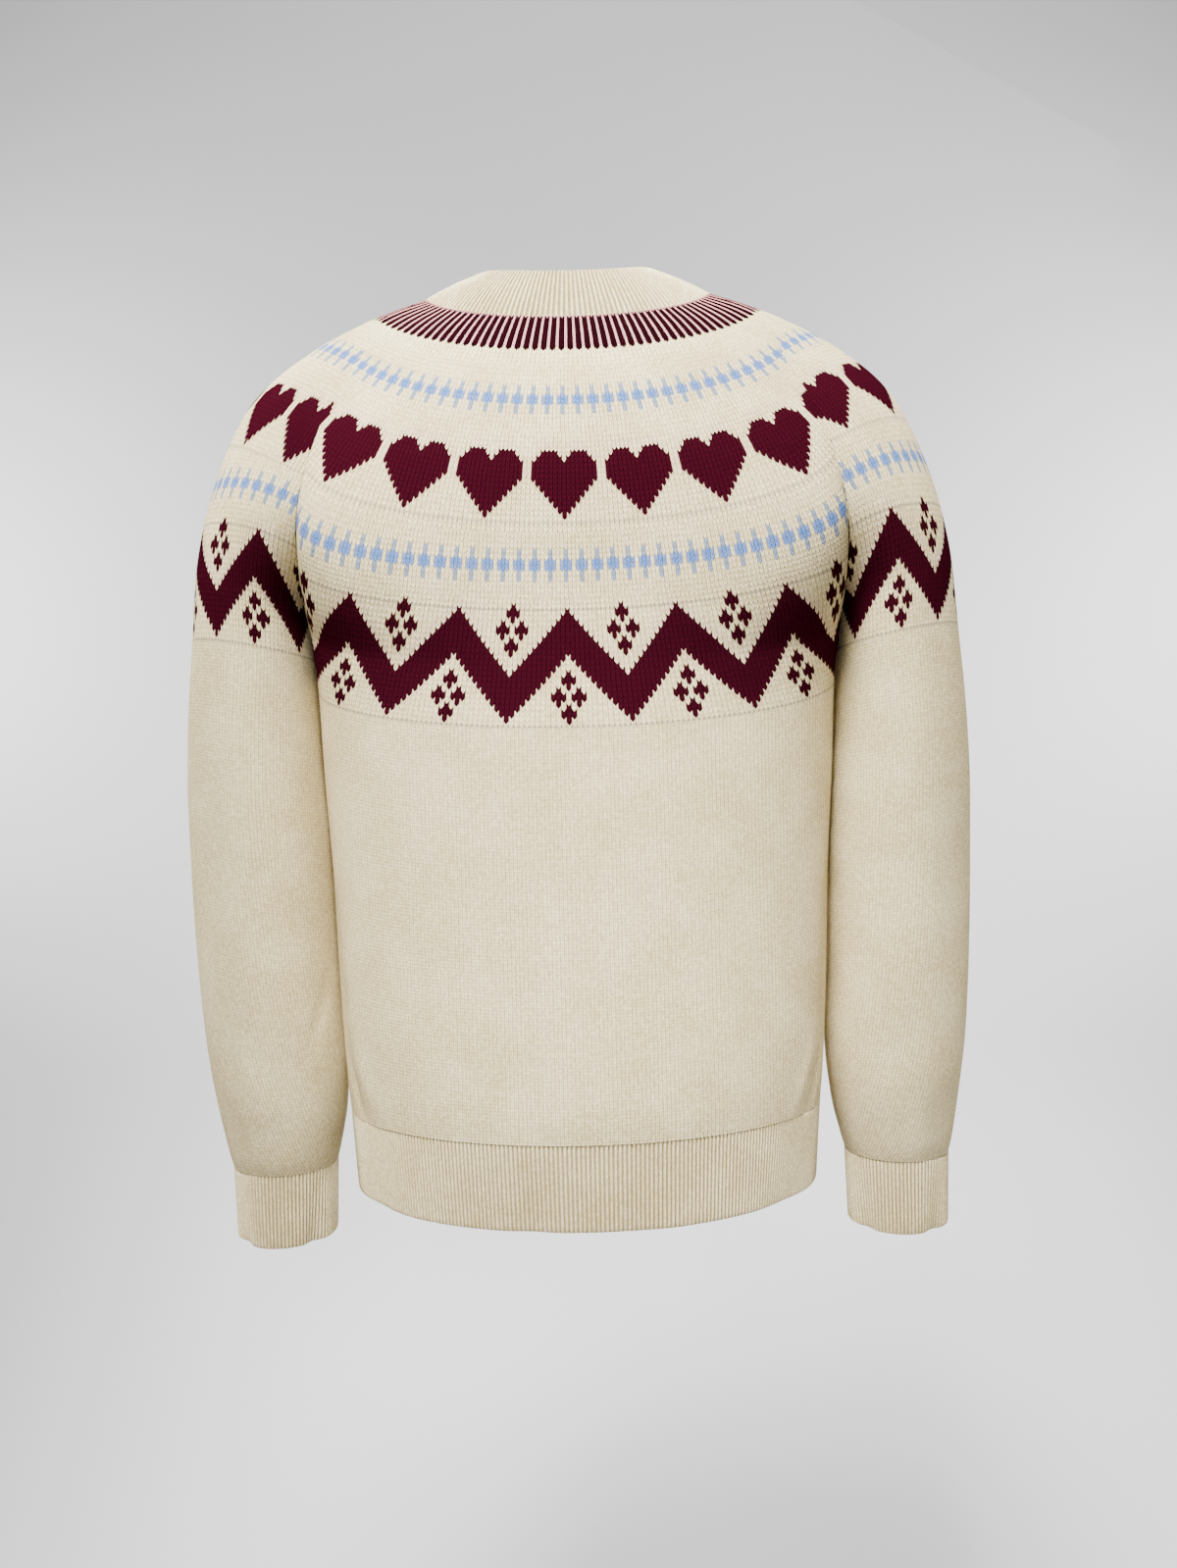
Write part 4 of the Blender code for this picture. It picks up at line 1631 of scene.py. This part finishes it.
def end_tree(graph: Graph, given: bpy.types.Node, made: bpy.types.Node) -> None:
    """End a Geometry Nodes tree: real instances, the finish and the output.

    Args:
        graph: the tree's graph.
        given: the node of its inputs.
        made: the node whose geometry goes out.
    """
    realized = graph.node("GeometryNodeRealizeInstances", {}, {0: graph.value(made)})
    dressed = graph.node("GeometryNodeSetMaterial", {}, {
        "Geometry": graph.value(realized), "Material": graph.value(given, "Finish"),
    })
    graph.node("NodeGroupOutput", {}, {"Geometry": graph.value(dressed)})


class RibRelief:
    """Geometry Nodes that sink the troughs between ribs into a plain band."""

    def __init__(self) -> None:
        """Build the tree with its named inputs."""
        self.tree, self.keys = new_tree("rib_relief", ("Rib depth",))
        graph = Graph(self.tree)
        given = graph.node("NodeGroupInput")
        count, share, out = (
            graph.value(graph.node("GeometryNodeInputNamedAttribute", {"data_type": kind}, {"Name": name}))
            for name, kind in RIB_ATTRIBUTES.items()
        )
        wave = (count * (2 * math.pi)).math("COSINE")
        sink = (wave - 1.0) * 0.5 * share * graph.value(given, "Rib depth")
        offset = graph.node("ShaderNodeVectorMath", {"operation": "SCALE"}, {0: out, "Scale": sink})
        moved = graph.node(
            "GeometryNodeSetPosition", {},
            {"Geometry": graph.value(given, "Geometry"), "Offset": graph.value(offset)},
        )
        end_tree(graph, given, moved)

    def apply(self, mesh: bpy.types.Mesh, depth: float, finish: bpy.types.Material) -> bpy.types.Mesh:
        """Return the mesh with its ribs.

        Args:
            mesh: a plain band with the three rib attributes.
            depth: crest to trough in metres.
            finish: the material.

        Returns:
            A new mesh.
        """
        return converted(mesh, self.tree, {self.keys["Rib depth"]: depth, self.keys["Finish"]: finish})


def converted(mesh: bpy.types.Mesh, tree: bpy.types.NodeTree, values: dict[str, Any]) -> bpy.types.Mesh:
    """Return what a Geometry Nodes tree makes of a mesh.

    Args:
        mesh: the mesh that goes in.
        tree: the tree.
        values: its inputs by identifier.

    Returns:
        A plain mesh under the first mesh's name.
    """
    name = mesh.name
    holder = bpy.data.objects.new(f"{name}_plain", mesh)
    bpy.context.scene.collection.objects.link(holder)
    modifier = holder.modifiers.new("nodes", "NODES")
    modifier.node_group = tree
    for identifier, value in values.items():
        modifier[identifier] = value
    bpy.context.view_layer.update()
    made = bpy.data.meshes.new_from_object(holder.evaluated_get(bpy.context.evaluated_depsgraph_get()))
    bpy.data.objects.remove(holder)
    bpy.data.meshes.remove(mesh)
    made.name = name
    return made


@dataclass
class Ribbing:
    """A band of one by one rib: two plain skins that the relief turns into ribs.

    Fields:
        node: the CAD node that it stands for.
        ribs: how many ribs it has.
        points_a_rib: steps along a row for each rib.
        stitches: rows of stitches from its top to its edge.
        closed: whether it is one ring without a seam.
        flat, area: the cut's width and length, and its flat area; not used.
        depth: crest to trough.
        wall: thickness at a crest.
        fade: how far inside the crests its rounded edges have lost their ribs.
        inner_share: how deep the ribs are on its inner side, as a share.
    """

    node: str
    ribs: int
    stitches: int
    flat: tuple[float, float]
    area: float
    points_a_rib: int = 6
    closed: bool = False
    depth: float = 0.0013
    wall: float = RIB_WALL
    fade: float = 0.0016
    inner_share: float = 0.5

    def rib_share(self, inset: float) -> float:
        """Return how much of the ribs is left at a distance inside the crests."""
        return 1.0 - min(1.0, inset / self.fade)

    def skins(self) -> tuple[np.ndarray, np.ndarray, np.ndarray, np.ndarray]:
        """Return outer and inner points, ways out and the ribs' share on each row."""
        raise NotImplementedError

    def build(self, relief: RibRelief, finish: bpy.types.Material) -> bpy.types.Object:
        """Add the band to the scene.

        Args:
            relief: the tree that makes its ribs.
            finish: its material.

        Returns:
            The object.
        """
        outer, inner, outward, shares = self.skins()
        rows, columns = outer.shape[:2]
        quads = wall_quads(rows, columns, self.closed)
        place = quads % (rows * columns)
        row, column = place // columns, place % columns
        if self.closed:
            jump = column.max(axis=1) - column.min(axis=1) > columns // 2
            column = column + ((column == 0) & jump[:, None]) * columns
        down = np.linspace(0.0, self.stitches, rows)
        knit = np.stack((column / self.points_a_rib, down[row]), axis=-1)
        points = np.concatenate((outer.reshape(-1, 3), inner.reshape(-1, 3)))
        mesh = Cloth(points, quads, knit).mesh(f"{self.node}_ribs")
        counts = np.tile(np.arange(columns) / self.points_a_rib, 2 * rows)
        share = np.concatenate([side * np.repeat(shares, columns) for side in (1.0, -self.inner_share)])
        ways = np.tile(outward.reshape(-1, 3), (2, 1))
        for (name, kind), values in zip(RIB_ATTRIBUTES.items(), (counts, share, ways.ravel())):
            key = "vector" if kind == "FLOAT_VECTOR" else "value"
            mesh.attributes.new(name, kind, "POINT").data.foreach_set(key, values)
        made = relief.apply(mesh, self.depth, finish)
        for name in RIB_ATTRIBUTES:
            made.attributes.remove(made.attributes[name])
        return dress(made, self.node)


@dataclass
class HangingRib(Ribbing):
    """A hem half or a cuff, which hangs level from a row of the knit above it.

    Fields:
        centre: the middle of its top section.
        half_width: half its width.
        depths: its depth behind and before the middle.
        start, turn: where its seam starts and how far it runs round, in radians.
        height: its height.
        draw: how much it draws in towards its edge.
        creases: angle, half width in radians and depth at the edge of each soft crease.
        crease_power: power by which the creases deepen towards the edge.
        cut: the garment's shape, for a cuff that sways with its sleeve.
        profile: share of the height of each ring, and how far it lies inside the crests.
    """

    centre: Point = (0.0, 0.0, 0.0)
    half_width: float = 0.1
    depths: tuple[float, float] = (0.1, 0.1)
    start: float = 0.0
    turn: float = 2 * math.pi
    height: float = 0.05
    draw: float = 0.002
    creases: Creases = ()
    crease_power: float = 1.3
    cut: Cut | None = None
    profile: tuple[tuple[float, float], ...] = (
        (0.0, 0.00045), (0.02, 0.0), (0.10, 0.0), (0.25, 0.0), (0.40, 0.0), (0.55, 0.0), (0.70, 0.0),
        (0.83, 0.0), (0.93, 0.0), (0.975, 0.00015), (0.993, 0.0006), (1.0, 0.0012),
    )

    def ring(self, share: float, inset: float) -> tuple[np.ndarray, np.ndarray]:
        """Return the points and the outward ways of one level ring.

        Args:
            share: 0 at the top, 1 at the edge.
            inset: how far it lies inside the crests.

        Returns:
            Points and unit vectors.
        """
        clearance = SEAM_GAP / 2
        angles = np.linspace(self.start, self.start + self.turn, self.ribs * self.points_a_rib + 1)
        width = self.half_width - self.draw * share
        depth = np.where(np.cos(angles) > 0, *(side - self.draw * share for side in self.depths))
        across = np.stack((width * np.sin(angles), -depth * np.cos(angles)), axis=1)
        normal = unit(np.stack((np.sin(angles) / width, -np.cos(angles) / depth), axis=1))
        crease = np.zeros(len(angles))
        for place, half, deep in self.creases:
            off = np.remainder(angles - place + math.pi, 2 * math.pi) - math.pi
            crease += deep * share**self.crease_power * np.exp(-(off / half) ** 2)
        flat = across - (inset + crease)[:, None] * normal + self.centre[:2]
        z = self.centre[2] - clearance - share * (self.height - clearance)
        points = np.column_stack((flat, np.full(len(angles), z)))
        points[0, 1] += clearance * np.sign(points[1, 1] - points[0, 1])
        points[-1, 1] += clearance * np.sign(points[-2, 1] - points[-1, 1])
        return points, np.column_stack((normal, np.zeros(len(angles))))

    def skins(self) -> tuple[np.ndarray, np.ndarray, np.ndarray, np.ndarray]:
        """Return outer and inner points, ways out and the ribs' share on each row.

        Returns:
            Three arrays by row and column, and the shares by row.
        """
        outer, inner, outward, shares = [], [], [], []
        for share, inset in self.profile:
            points, ways = self.ring(share, inset)
            outer.append(points)
            inner.append(self.ring(share, self.wall - inset)[0])
            outward.append(ways)
            shares.append(self.rib_share(inset))
        found = [np.array(outer), np.array(inner)]
        if self.cut is not None:
            found = [self.cut.swayed(points) for points in found]
        return found[0], found[1], np.array(outward), np.array(shares)


@dataclass
class Neckband(Ribbing):
    """The doubled neckband, one closed ring over the neck seam.

    Fields:
        cut, line: the garment's shape and its neck line.
        bulge: how far the band swells between its seam and its top edge.
        profile: share of the height of each ring, and how far it lies inside the crests.
    """

    cut: Cut = CUT
    line: NeckLine = NECK
    bulge: float = 0.0015
    wall: float = BAND_WALL
    fade: float = 0.0022
    profile: tuple[tuple[float, float], ...] = (
        (0.0, 0.0), (0.04, 0.0), (0.12, 0.0), (0.22, 0.0), (0.33, 0.0), (0.44, 0.0), (0.55, 0.0),
        (0.66, 0.0), (0.77, 0.0), (0.86, 0.0), (0.925, 0.0001), (0.965, 0.0004), (0.99, 0.0009),
        (1.0, 0.0015),
    )

    def skins(self) -> tuple[np.ndarray, np.ndarray, np.ndarray, np.ndarray]:
        """Return outer and inner points, ways out and the ribs' share on each row.

        Returns:
            Three arrays by row and column, and the shares by row.
        """
        count = self.ribs * self.points_a_rib
        seam, top, down = self.line.loops(self.cut, count)
        parting = unit(unit(top - seam) - down)
        outward = self.line.outward(seam, top)
        start = seam + SEAM_GAP * parting
        in_plane = outward - np.einsum("ij,ij->i", outward, parting)[:, None] * parting
        outer, inner, ways, shares = [], [], [], []
        for share, inset in self.profile:
            way = outward if share else in_plane
            middle = start + share * (top - start)
            rise = self.bulge * 4 * share * (1 - share)
            outer.append(middle + (rise - inset) * way)
            inner.append(middle + (rise - self.wall + inset) * way)
            ways.append(way)
            shares.append(self.rib_share(inset))
        return np.array(outer), np.array(inner), np.array(ways), np.array(shares)


class StitchRow:
    """Geometry Nodes that set small yarn stitches along a seam."""

    def __init__(self) -> None:
        """Build the tree with its named inputs."""
        self.tree, self.keys = new_tree("stitch_row", ("Pitch", "Stitch length", "Yarn thickness"))
        graph = Graph(self.tree)
        given = graph.node("NodeGroupInput")
        line = graph.node("GeometryNodeMeshToCurve", {}, {"Mesh": graph.value(given, "Geometry")})
        places = graph.node(
            "GeometryNodeCurveToPoints", {"mode": "LENGTH"},
            {"Curve": graph.value(line), "Length": graph.value(given, "Pitch")},
        )
        ball = graph.node("GeometryNodeMeshUVSphere", {}, {"Segments": 6, "Rings": 4, "Radius": 0.5})
        yarn = graph.node("GeometryNodeSetShadeSmooth", {}, {0: graph.value(ball, "Mesh")})
        scale = graph.node("ShaderNodeCombineXYZ", {}, {
            "X": graph.value(given, "Yarn thickness"), "Y": graph.value(given, "Yarn thickness"),
            "Z": graph.value(given, "Stitch length"),
        })
        stitches = graph.node("GeometryNodeInstanceOnPoints", {}, {
            "Points": graph.value(places, "Points"), "Instance": graph.value(yarn),
            "Rotation": graph.value(places, "Rotation"), "Scale": graph.value(scale),
        })
        end_tree(graph, given, stitches)


@dataclass
class SeamLine:
    """A row of linking stitches round a closed seam.

    Fields:
        name: the piece's name.
        path: the seam's points, in their order.
        sizes: the stitches' pitch, length and yarn thickness in metres, by name.
    """

    name: str
    path: np.ndarray
    sizes: dict[str, float] = field(default_factory=lambda: {
        "Pitch": 0.0033, "Stitch length": 0.0022, "Yarn thickness": 0.0009,
    })

    def build(self, row: StitchRow, finish: bpy.types.Material) -> bpy.types.Object:
        """Add the stitches to the scene.

        Args:
            row: the tree that sets them.
            finish: their material.

        Returns:
            The object.
        """
        count = len(self.path)
        mesh = bpy.data.meshes.new(self.name)
        mesh.from_pydata(self.path.tolist(), [(i, (i + 1) % count) for i in range(count)], [])
        values = {row.keys[name]: size for name, size in self.sizes.items()}
        made = converted(mesh, row.tree, {**values, row.keys["Finish"]: finish})
        piece = bpy.data.objects.new(self.name, made)
        bpy.context.scene.collection.objects.link(piece)
        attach(piece, "root")
        LOG.info("%s: %d faces", self.name, len(made.polygons))
        return piece


@dataclass
class Body:
    """The two body panels and their hem ribs.

    Fields:
        cut, finishes: the garment's shape and its finishes.
        hem_height, hem_draw, hem_ribs: height of the hem, how much it draws in and its
            ribs on each half.
        hem_creases: the soft creases of the hem.
        back_lift: how many courses the back's rows of knit lie above the shape's.
    """

    cut: Cut
    finishes: Finishes
    hem_height: float = 0.0565
    hem_draw: float = 0.0040
    hem_ribs: int = 181
    hem_creases: Creases = (
        (-1.05, 0.16, 0.0030), (-0.22, 0.07, 0.0018), (0.95, 0.18, 0.0026), (0.35, 0.12, -0.0010),
        (2.30, 0.20, 0.0024), (3.30, 0.14, -0.0012), (4.00, 0.20, 0.0026),
    )
    back_lift: Lifts = (
        (0.0, 0.0, 0.0, 0.0), (20.5, 0.0, 0.0, 0.0), (44.0, 0.0, -0.5, -0.2), (49.0, 0.0, -1.3, -0.5),
        (55.0, 0.0, -1.2, -0.4), (60.0, 0.0, 0.8, 1.3), (66.0, 0.0, 0.6, 0.9), (70.0, 0.0, 0.0, 0.0),
    )

    def build(self, relief: RibRelief) -> None:
        """Add the back, the front and the two halves of the hem.

        Args:
            relief: the tree that makes the ribs.
        """
        BodyPanel(
            "back_panel", self.cut, BODY_ZONES, columns=120, flat=(0.50, 0.57), area=0.245,
            outward=-1.0, face=Face.BACK, shift=-0.0040, spread=0.07, lift=self.back_lift,
        ).build(self.finishes.panel)
        BodyPanel(
            "front_panel", self.cut, BODY_ZONES, columns=120, flat=(0.50, 0.55), area=0.237,
            outward=1.0, face=Face.FRONT, spread=0.07,
        ).build(self.finishes.panel)
        row = {name: float(TORSO[name][-1]) for name in TORSO}
        depths = (row["side_y"] - row["back_y"], row["front_y"] - row["side_y"])
        for node, start in (("hem_rib_back", -math.pi / 2), ("hem_rib_front", math.pi / 2)):
            HangingRib(
                node, self.hem_ribs, stitches=26, flat=(0.46, 0.0565), area=0.0258,
                centre=(0.0, row["side_y"], row["back_z"]), half_width=row["side_x"], depths=depths,
                start=start, turn=math.pi, height=self.hem_height, draw=self.hem_draw,
                creases=self.hem_creases,
            ).build(relief, self.finishes.rib)


@dataclass
class Arms:
    """The two sleeves and their cuffs.

    Fields:
        cut, finishes: the garment's shape and its finishes.
        shifts: how far aside the pattern's middle lies on each sleeve.
        lifts: how many courses the sleeves' rows of knit lie above the shape's.
        creases: the soft creases of the cuffs.
        cuff_height, cuff_draw, cuff_ribs: height of a cuff, how much it draws in and
            its ribs.
    """

    cut: Cut
    finishes: Finishes
    shifts: dict[Side, float] = field(default_factory=lambda: {Side.LEFT: 0.0, Side.RIGHT: 0.0045})
    lifts: dict[Side, Lifts] = field(default_factory=lambda: {
        Side.LEFT: (
            (0.0, 0.0, 0.0, 0.0), (20.0, 0.0, 0.0, 0.0), (30.0, -1.0, -1.2, -1.2), (43.5, -1.6, -2.2, -2.2),
            (49.0, -2.5, 1.0, 1.0), (55.0, -2.1, 2.0, 2.0), (60.0, -0.9, 3.2, 3.2), (75.0, 0.0, 5.0, 5.0),
            (95.0, 0.0, 5.0, 5.0), (150.0, 0.0, 0.0, 0.0),
        ),
        Side.RIGHT: (
            (0.0, 0.0, 0.0, 0.0), (20.5, 0.0, 0.5, 0.5), (30.0, 0.6, 1.6, 1.6), (43.5, 0.0, 2.2, 2.2),
            (52.0, 0.0, 3.4, 3.4), (60.0, -0.4, 4.0, 4.0), (75.0, 0.0, 5.0, 5.0), (95.0, 0.0, 5.0, 5.0),
            (150.0, 0.0, 0.0, 0.0),
        ),
    })
    creases: dict[Side, Creases] = field(default_factory=lambda: {
        Side.LEFT: ((-0.85, 0.26, 0.0048), (0.80, 0.20, 0.0040), (3.60, 0.25, 0.0025)),
        Side.RIGHT: ((-0.95, 0.22, 0.0036), (0.60, 0.24, 0.0040), (2.80, 0.25, 0.0025)),
    })
    cuff_height: float = 0.0520
    cuff_draw: float = 0.0015
    cuff_ribs: int = 84

    def build(self, relief: RibRelief) -> None:
        """Add the sleeves and the cuffs.

        Args:
            relief: the tree that makes the ribs.
        """
        row = {name: float(ARM[name][-1]) for name in ARM}
        for side in Side:
            word = side.name.lower()
            zones = (*ARM_ZONES[:2], LEFT_HEARTS, *ARM_ZONES[3:]) if side is Side.LEFT else ARM_ZONES
            Sleeve(
                f"sleeve_{word}", self.cut, zones, columns=96, flat=(0.36, 0.69), area=0.182,
                underarm_row=75.0, half_repeat=1.0, side=side, shift=self.shifts[side], lift=self.lifts[side],
            ).build(self.finishes.panel)
            HangingRib(
                f"cuff_{word}", self.cuff_ribs, stitches=24, flat=(0.235, 0.052), area=0.0122,
                centre=(side.value * (row["top_x"] + row["inner_x"]) / 2, row["arm_y"], row["top_z"]),
                half_width=(row["top_x"] - row["inner_x"]) / 2,
                depths=(row["arm_depth"], row["arm_depth"]),
                start=side.value * math.pi / 2 + math.pi, turn=2 * math.pi,
                height=self.cuff_height, draw=self.cuff_draw, cut=self.cut, creases=self.creases[side],
            ).build(relief, self.finishes.rib)


@dataclass
class Neck:
    """The neckband and its row of linking stitches.

    Fields:
        cut, finishes: the garment's shape and its finishes.
        link_points: points of the path that the stitches follow.
        link_lift: how far that path lies outside the seam.
    """

    cut: Cut
    finishes: Finishes
    link_points: int = 360
    link_lift: float = 0.0001

    def build(self, relief: RibRelief, row: StitchRow) -> None:
        """Add the neckband and the stitches that link it on.

        Args:
            relief: the tree that makes the ribs.
            row: the tree that sets the linking stitches.
        """
        Neckband(
            "neckband", 172, stitches=22, flat=(0.46, 0.050), area=0.0215, points_a_rib=8, closed=True,
        ).build(relief, self.finishes.rib)
        seam, top, _ = NECK.loops(self.cut, self.link_points)
        path = seam + self.link_lift * NECK.outward(seam, top)
        SeamLine("neck_linking", path).build(row, self.finishes.rib)


@dataclass(frozen=True)
class Lamp:
    """One soft light.

    Fields:
        name: its name.
        place: where it stands.
        target: the point that it faces.
        size: its width in metres.
        power: its strength in watts.
        spread: how wide it fans out, in degrees.
    """

    name: str
    place: Point
    target: Point
    size: float
    power: float
    spread: float = 180.0

    def build(self) -> None:
        """Add the light."""
        data = bpy.data.lights.new(self.name, "AREA")
        data.size = self.size
        data.energy = self.power
        data.spread = math.radians(self.spread)
        lamp = bpy.data.objects.new(self.name, data)
        lamp.location = self.place
        way = Vector(self.target) - Vector(self.place)
        lamp.rotation_euler = way.to_track_quat("-Z", "Y").to_euler()
        bpy.context.scene.collection.objects.link(lamp)


@dataclass
class Studio:
    """The pale floor, the backdrop and the soft lights.

    Fields:
        floor_z, wall_y: where the floor and the backdrop lie.
        front_y, top_z: where the paper ends before the floor and above the backdrop.
        width: width of the paper.
        bend, bend_steps: radius and steps of the curve between floor and backdrop.
        lamps: the lights.
        air, air_strength: the colour and the strength of the light from all round.
    """

    floor_z: float = -1.40
    wall_y: float = 1.10
    front_y: float = -5.0
    top_z: float = 3.0
    width: float = 8.0
    bend: float = 0.6
    bend_steps: int = 12
    lamps: tuple[Lamp, ...] = (
        Lamp("key", (-0.30, -0.95, 1.20), (0.0, 0.0, -0.13), 0.7, 19.5, 52.0),
        Lamp("fill", (0.15, -1.6, 0.1), (0.02, -0.1, -0.50), 0.30, 1.10, 26.0),
        Lamp("top", (0.1, -0.1, 1.5), (0.0, 0.0, -0.30), 1.0, 24.0),
        Lamp("behind", (0.7, 1.0, 0.9), (0.0, 0.0, -0.30), 0.6, 6.5, 120.0),
        Lamp("paper_left", (-1.20, 0.45, -0.05), (-0.3, 1.10, -0.10), 0.6, 22.0),
        Lamp("paper_right", (1.20, 0.45, -0.05), (0.3, 1.10, -0.10), 0.6, 22.0),
    )
    air: Colour = (0.92, 0.93, 0.95, 1.0)
    air_strength: float = 0.27

    def build(self, paper: bpy.types.Material) -> None:
        """Add the sweep of paper, the lights and the world.

        Args:
            paper: the paper's finish.
        """
        turn = np.linspace(0.0, math.pi / 2, self.bend_steps + 1)
        bend_y = self.wall_y - self.bend + self.bend * np.sin(turn)
        bend_z = self.floor_z + self.bend - self.bend * np.cos(turn)
        line = [(self.front_y, self.floor_z), *zip(bend_y, bend_z), (self.wall_y, self.top_z)]
        points = [(x, y, z) for y, z in line for x in (-self.width / 2, self.width / 2)]
        faces = [(2 * i, 2 * i + 1, 2 * i + 3, 2 * i + 2) for i in range(len(line) - 1)]
        mesh = bpy.data.meshes.new("studio_sweep")
        mesh.from_pydata([tuple(map(float, point)) for point in points], [], faces)
        mesh.shade_smooth()
        mesh.materials.append(paper)
        sweep = bpy.data.objects.new("studio_sweep", mesh)
        bpy.context.scene.collection.objects.link(sweep)
        for lamp in self.lamps:
            lamp.build()
        world = bpy.data.worlds.new("studio_air")
        world.use_nodes = True
        background = world.node_tree.nodes["Background"]
        background.inputs["Color"].default_value = self.air
        background.inputs["Strength"].default_value = self.air_strength
        bpy.context.scene.world = world


def main() -> None:
    """Build the camera, the sweater and the studio in their order."""
    logging.basicConfig(level=logging.INFO, format="%(name)s %(message)s")
    Viewpoint().build()
    finishes = Finishes(PatternedKnit().build(), RibKnit().build(), StudioPaper().build())
    relief, row = RibRelief(), StitchRow()
    Body(CUT, finishes).build(relief)
    Arms(CUT, finishes).build(relief)
    Neck(CUT, finishes).build(relief, row)
    Studio().build(finishes.paper)


if __name__ == "__main__":
    main()
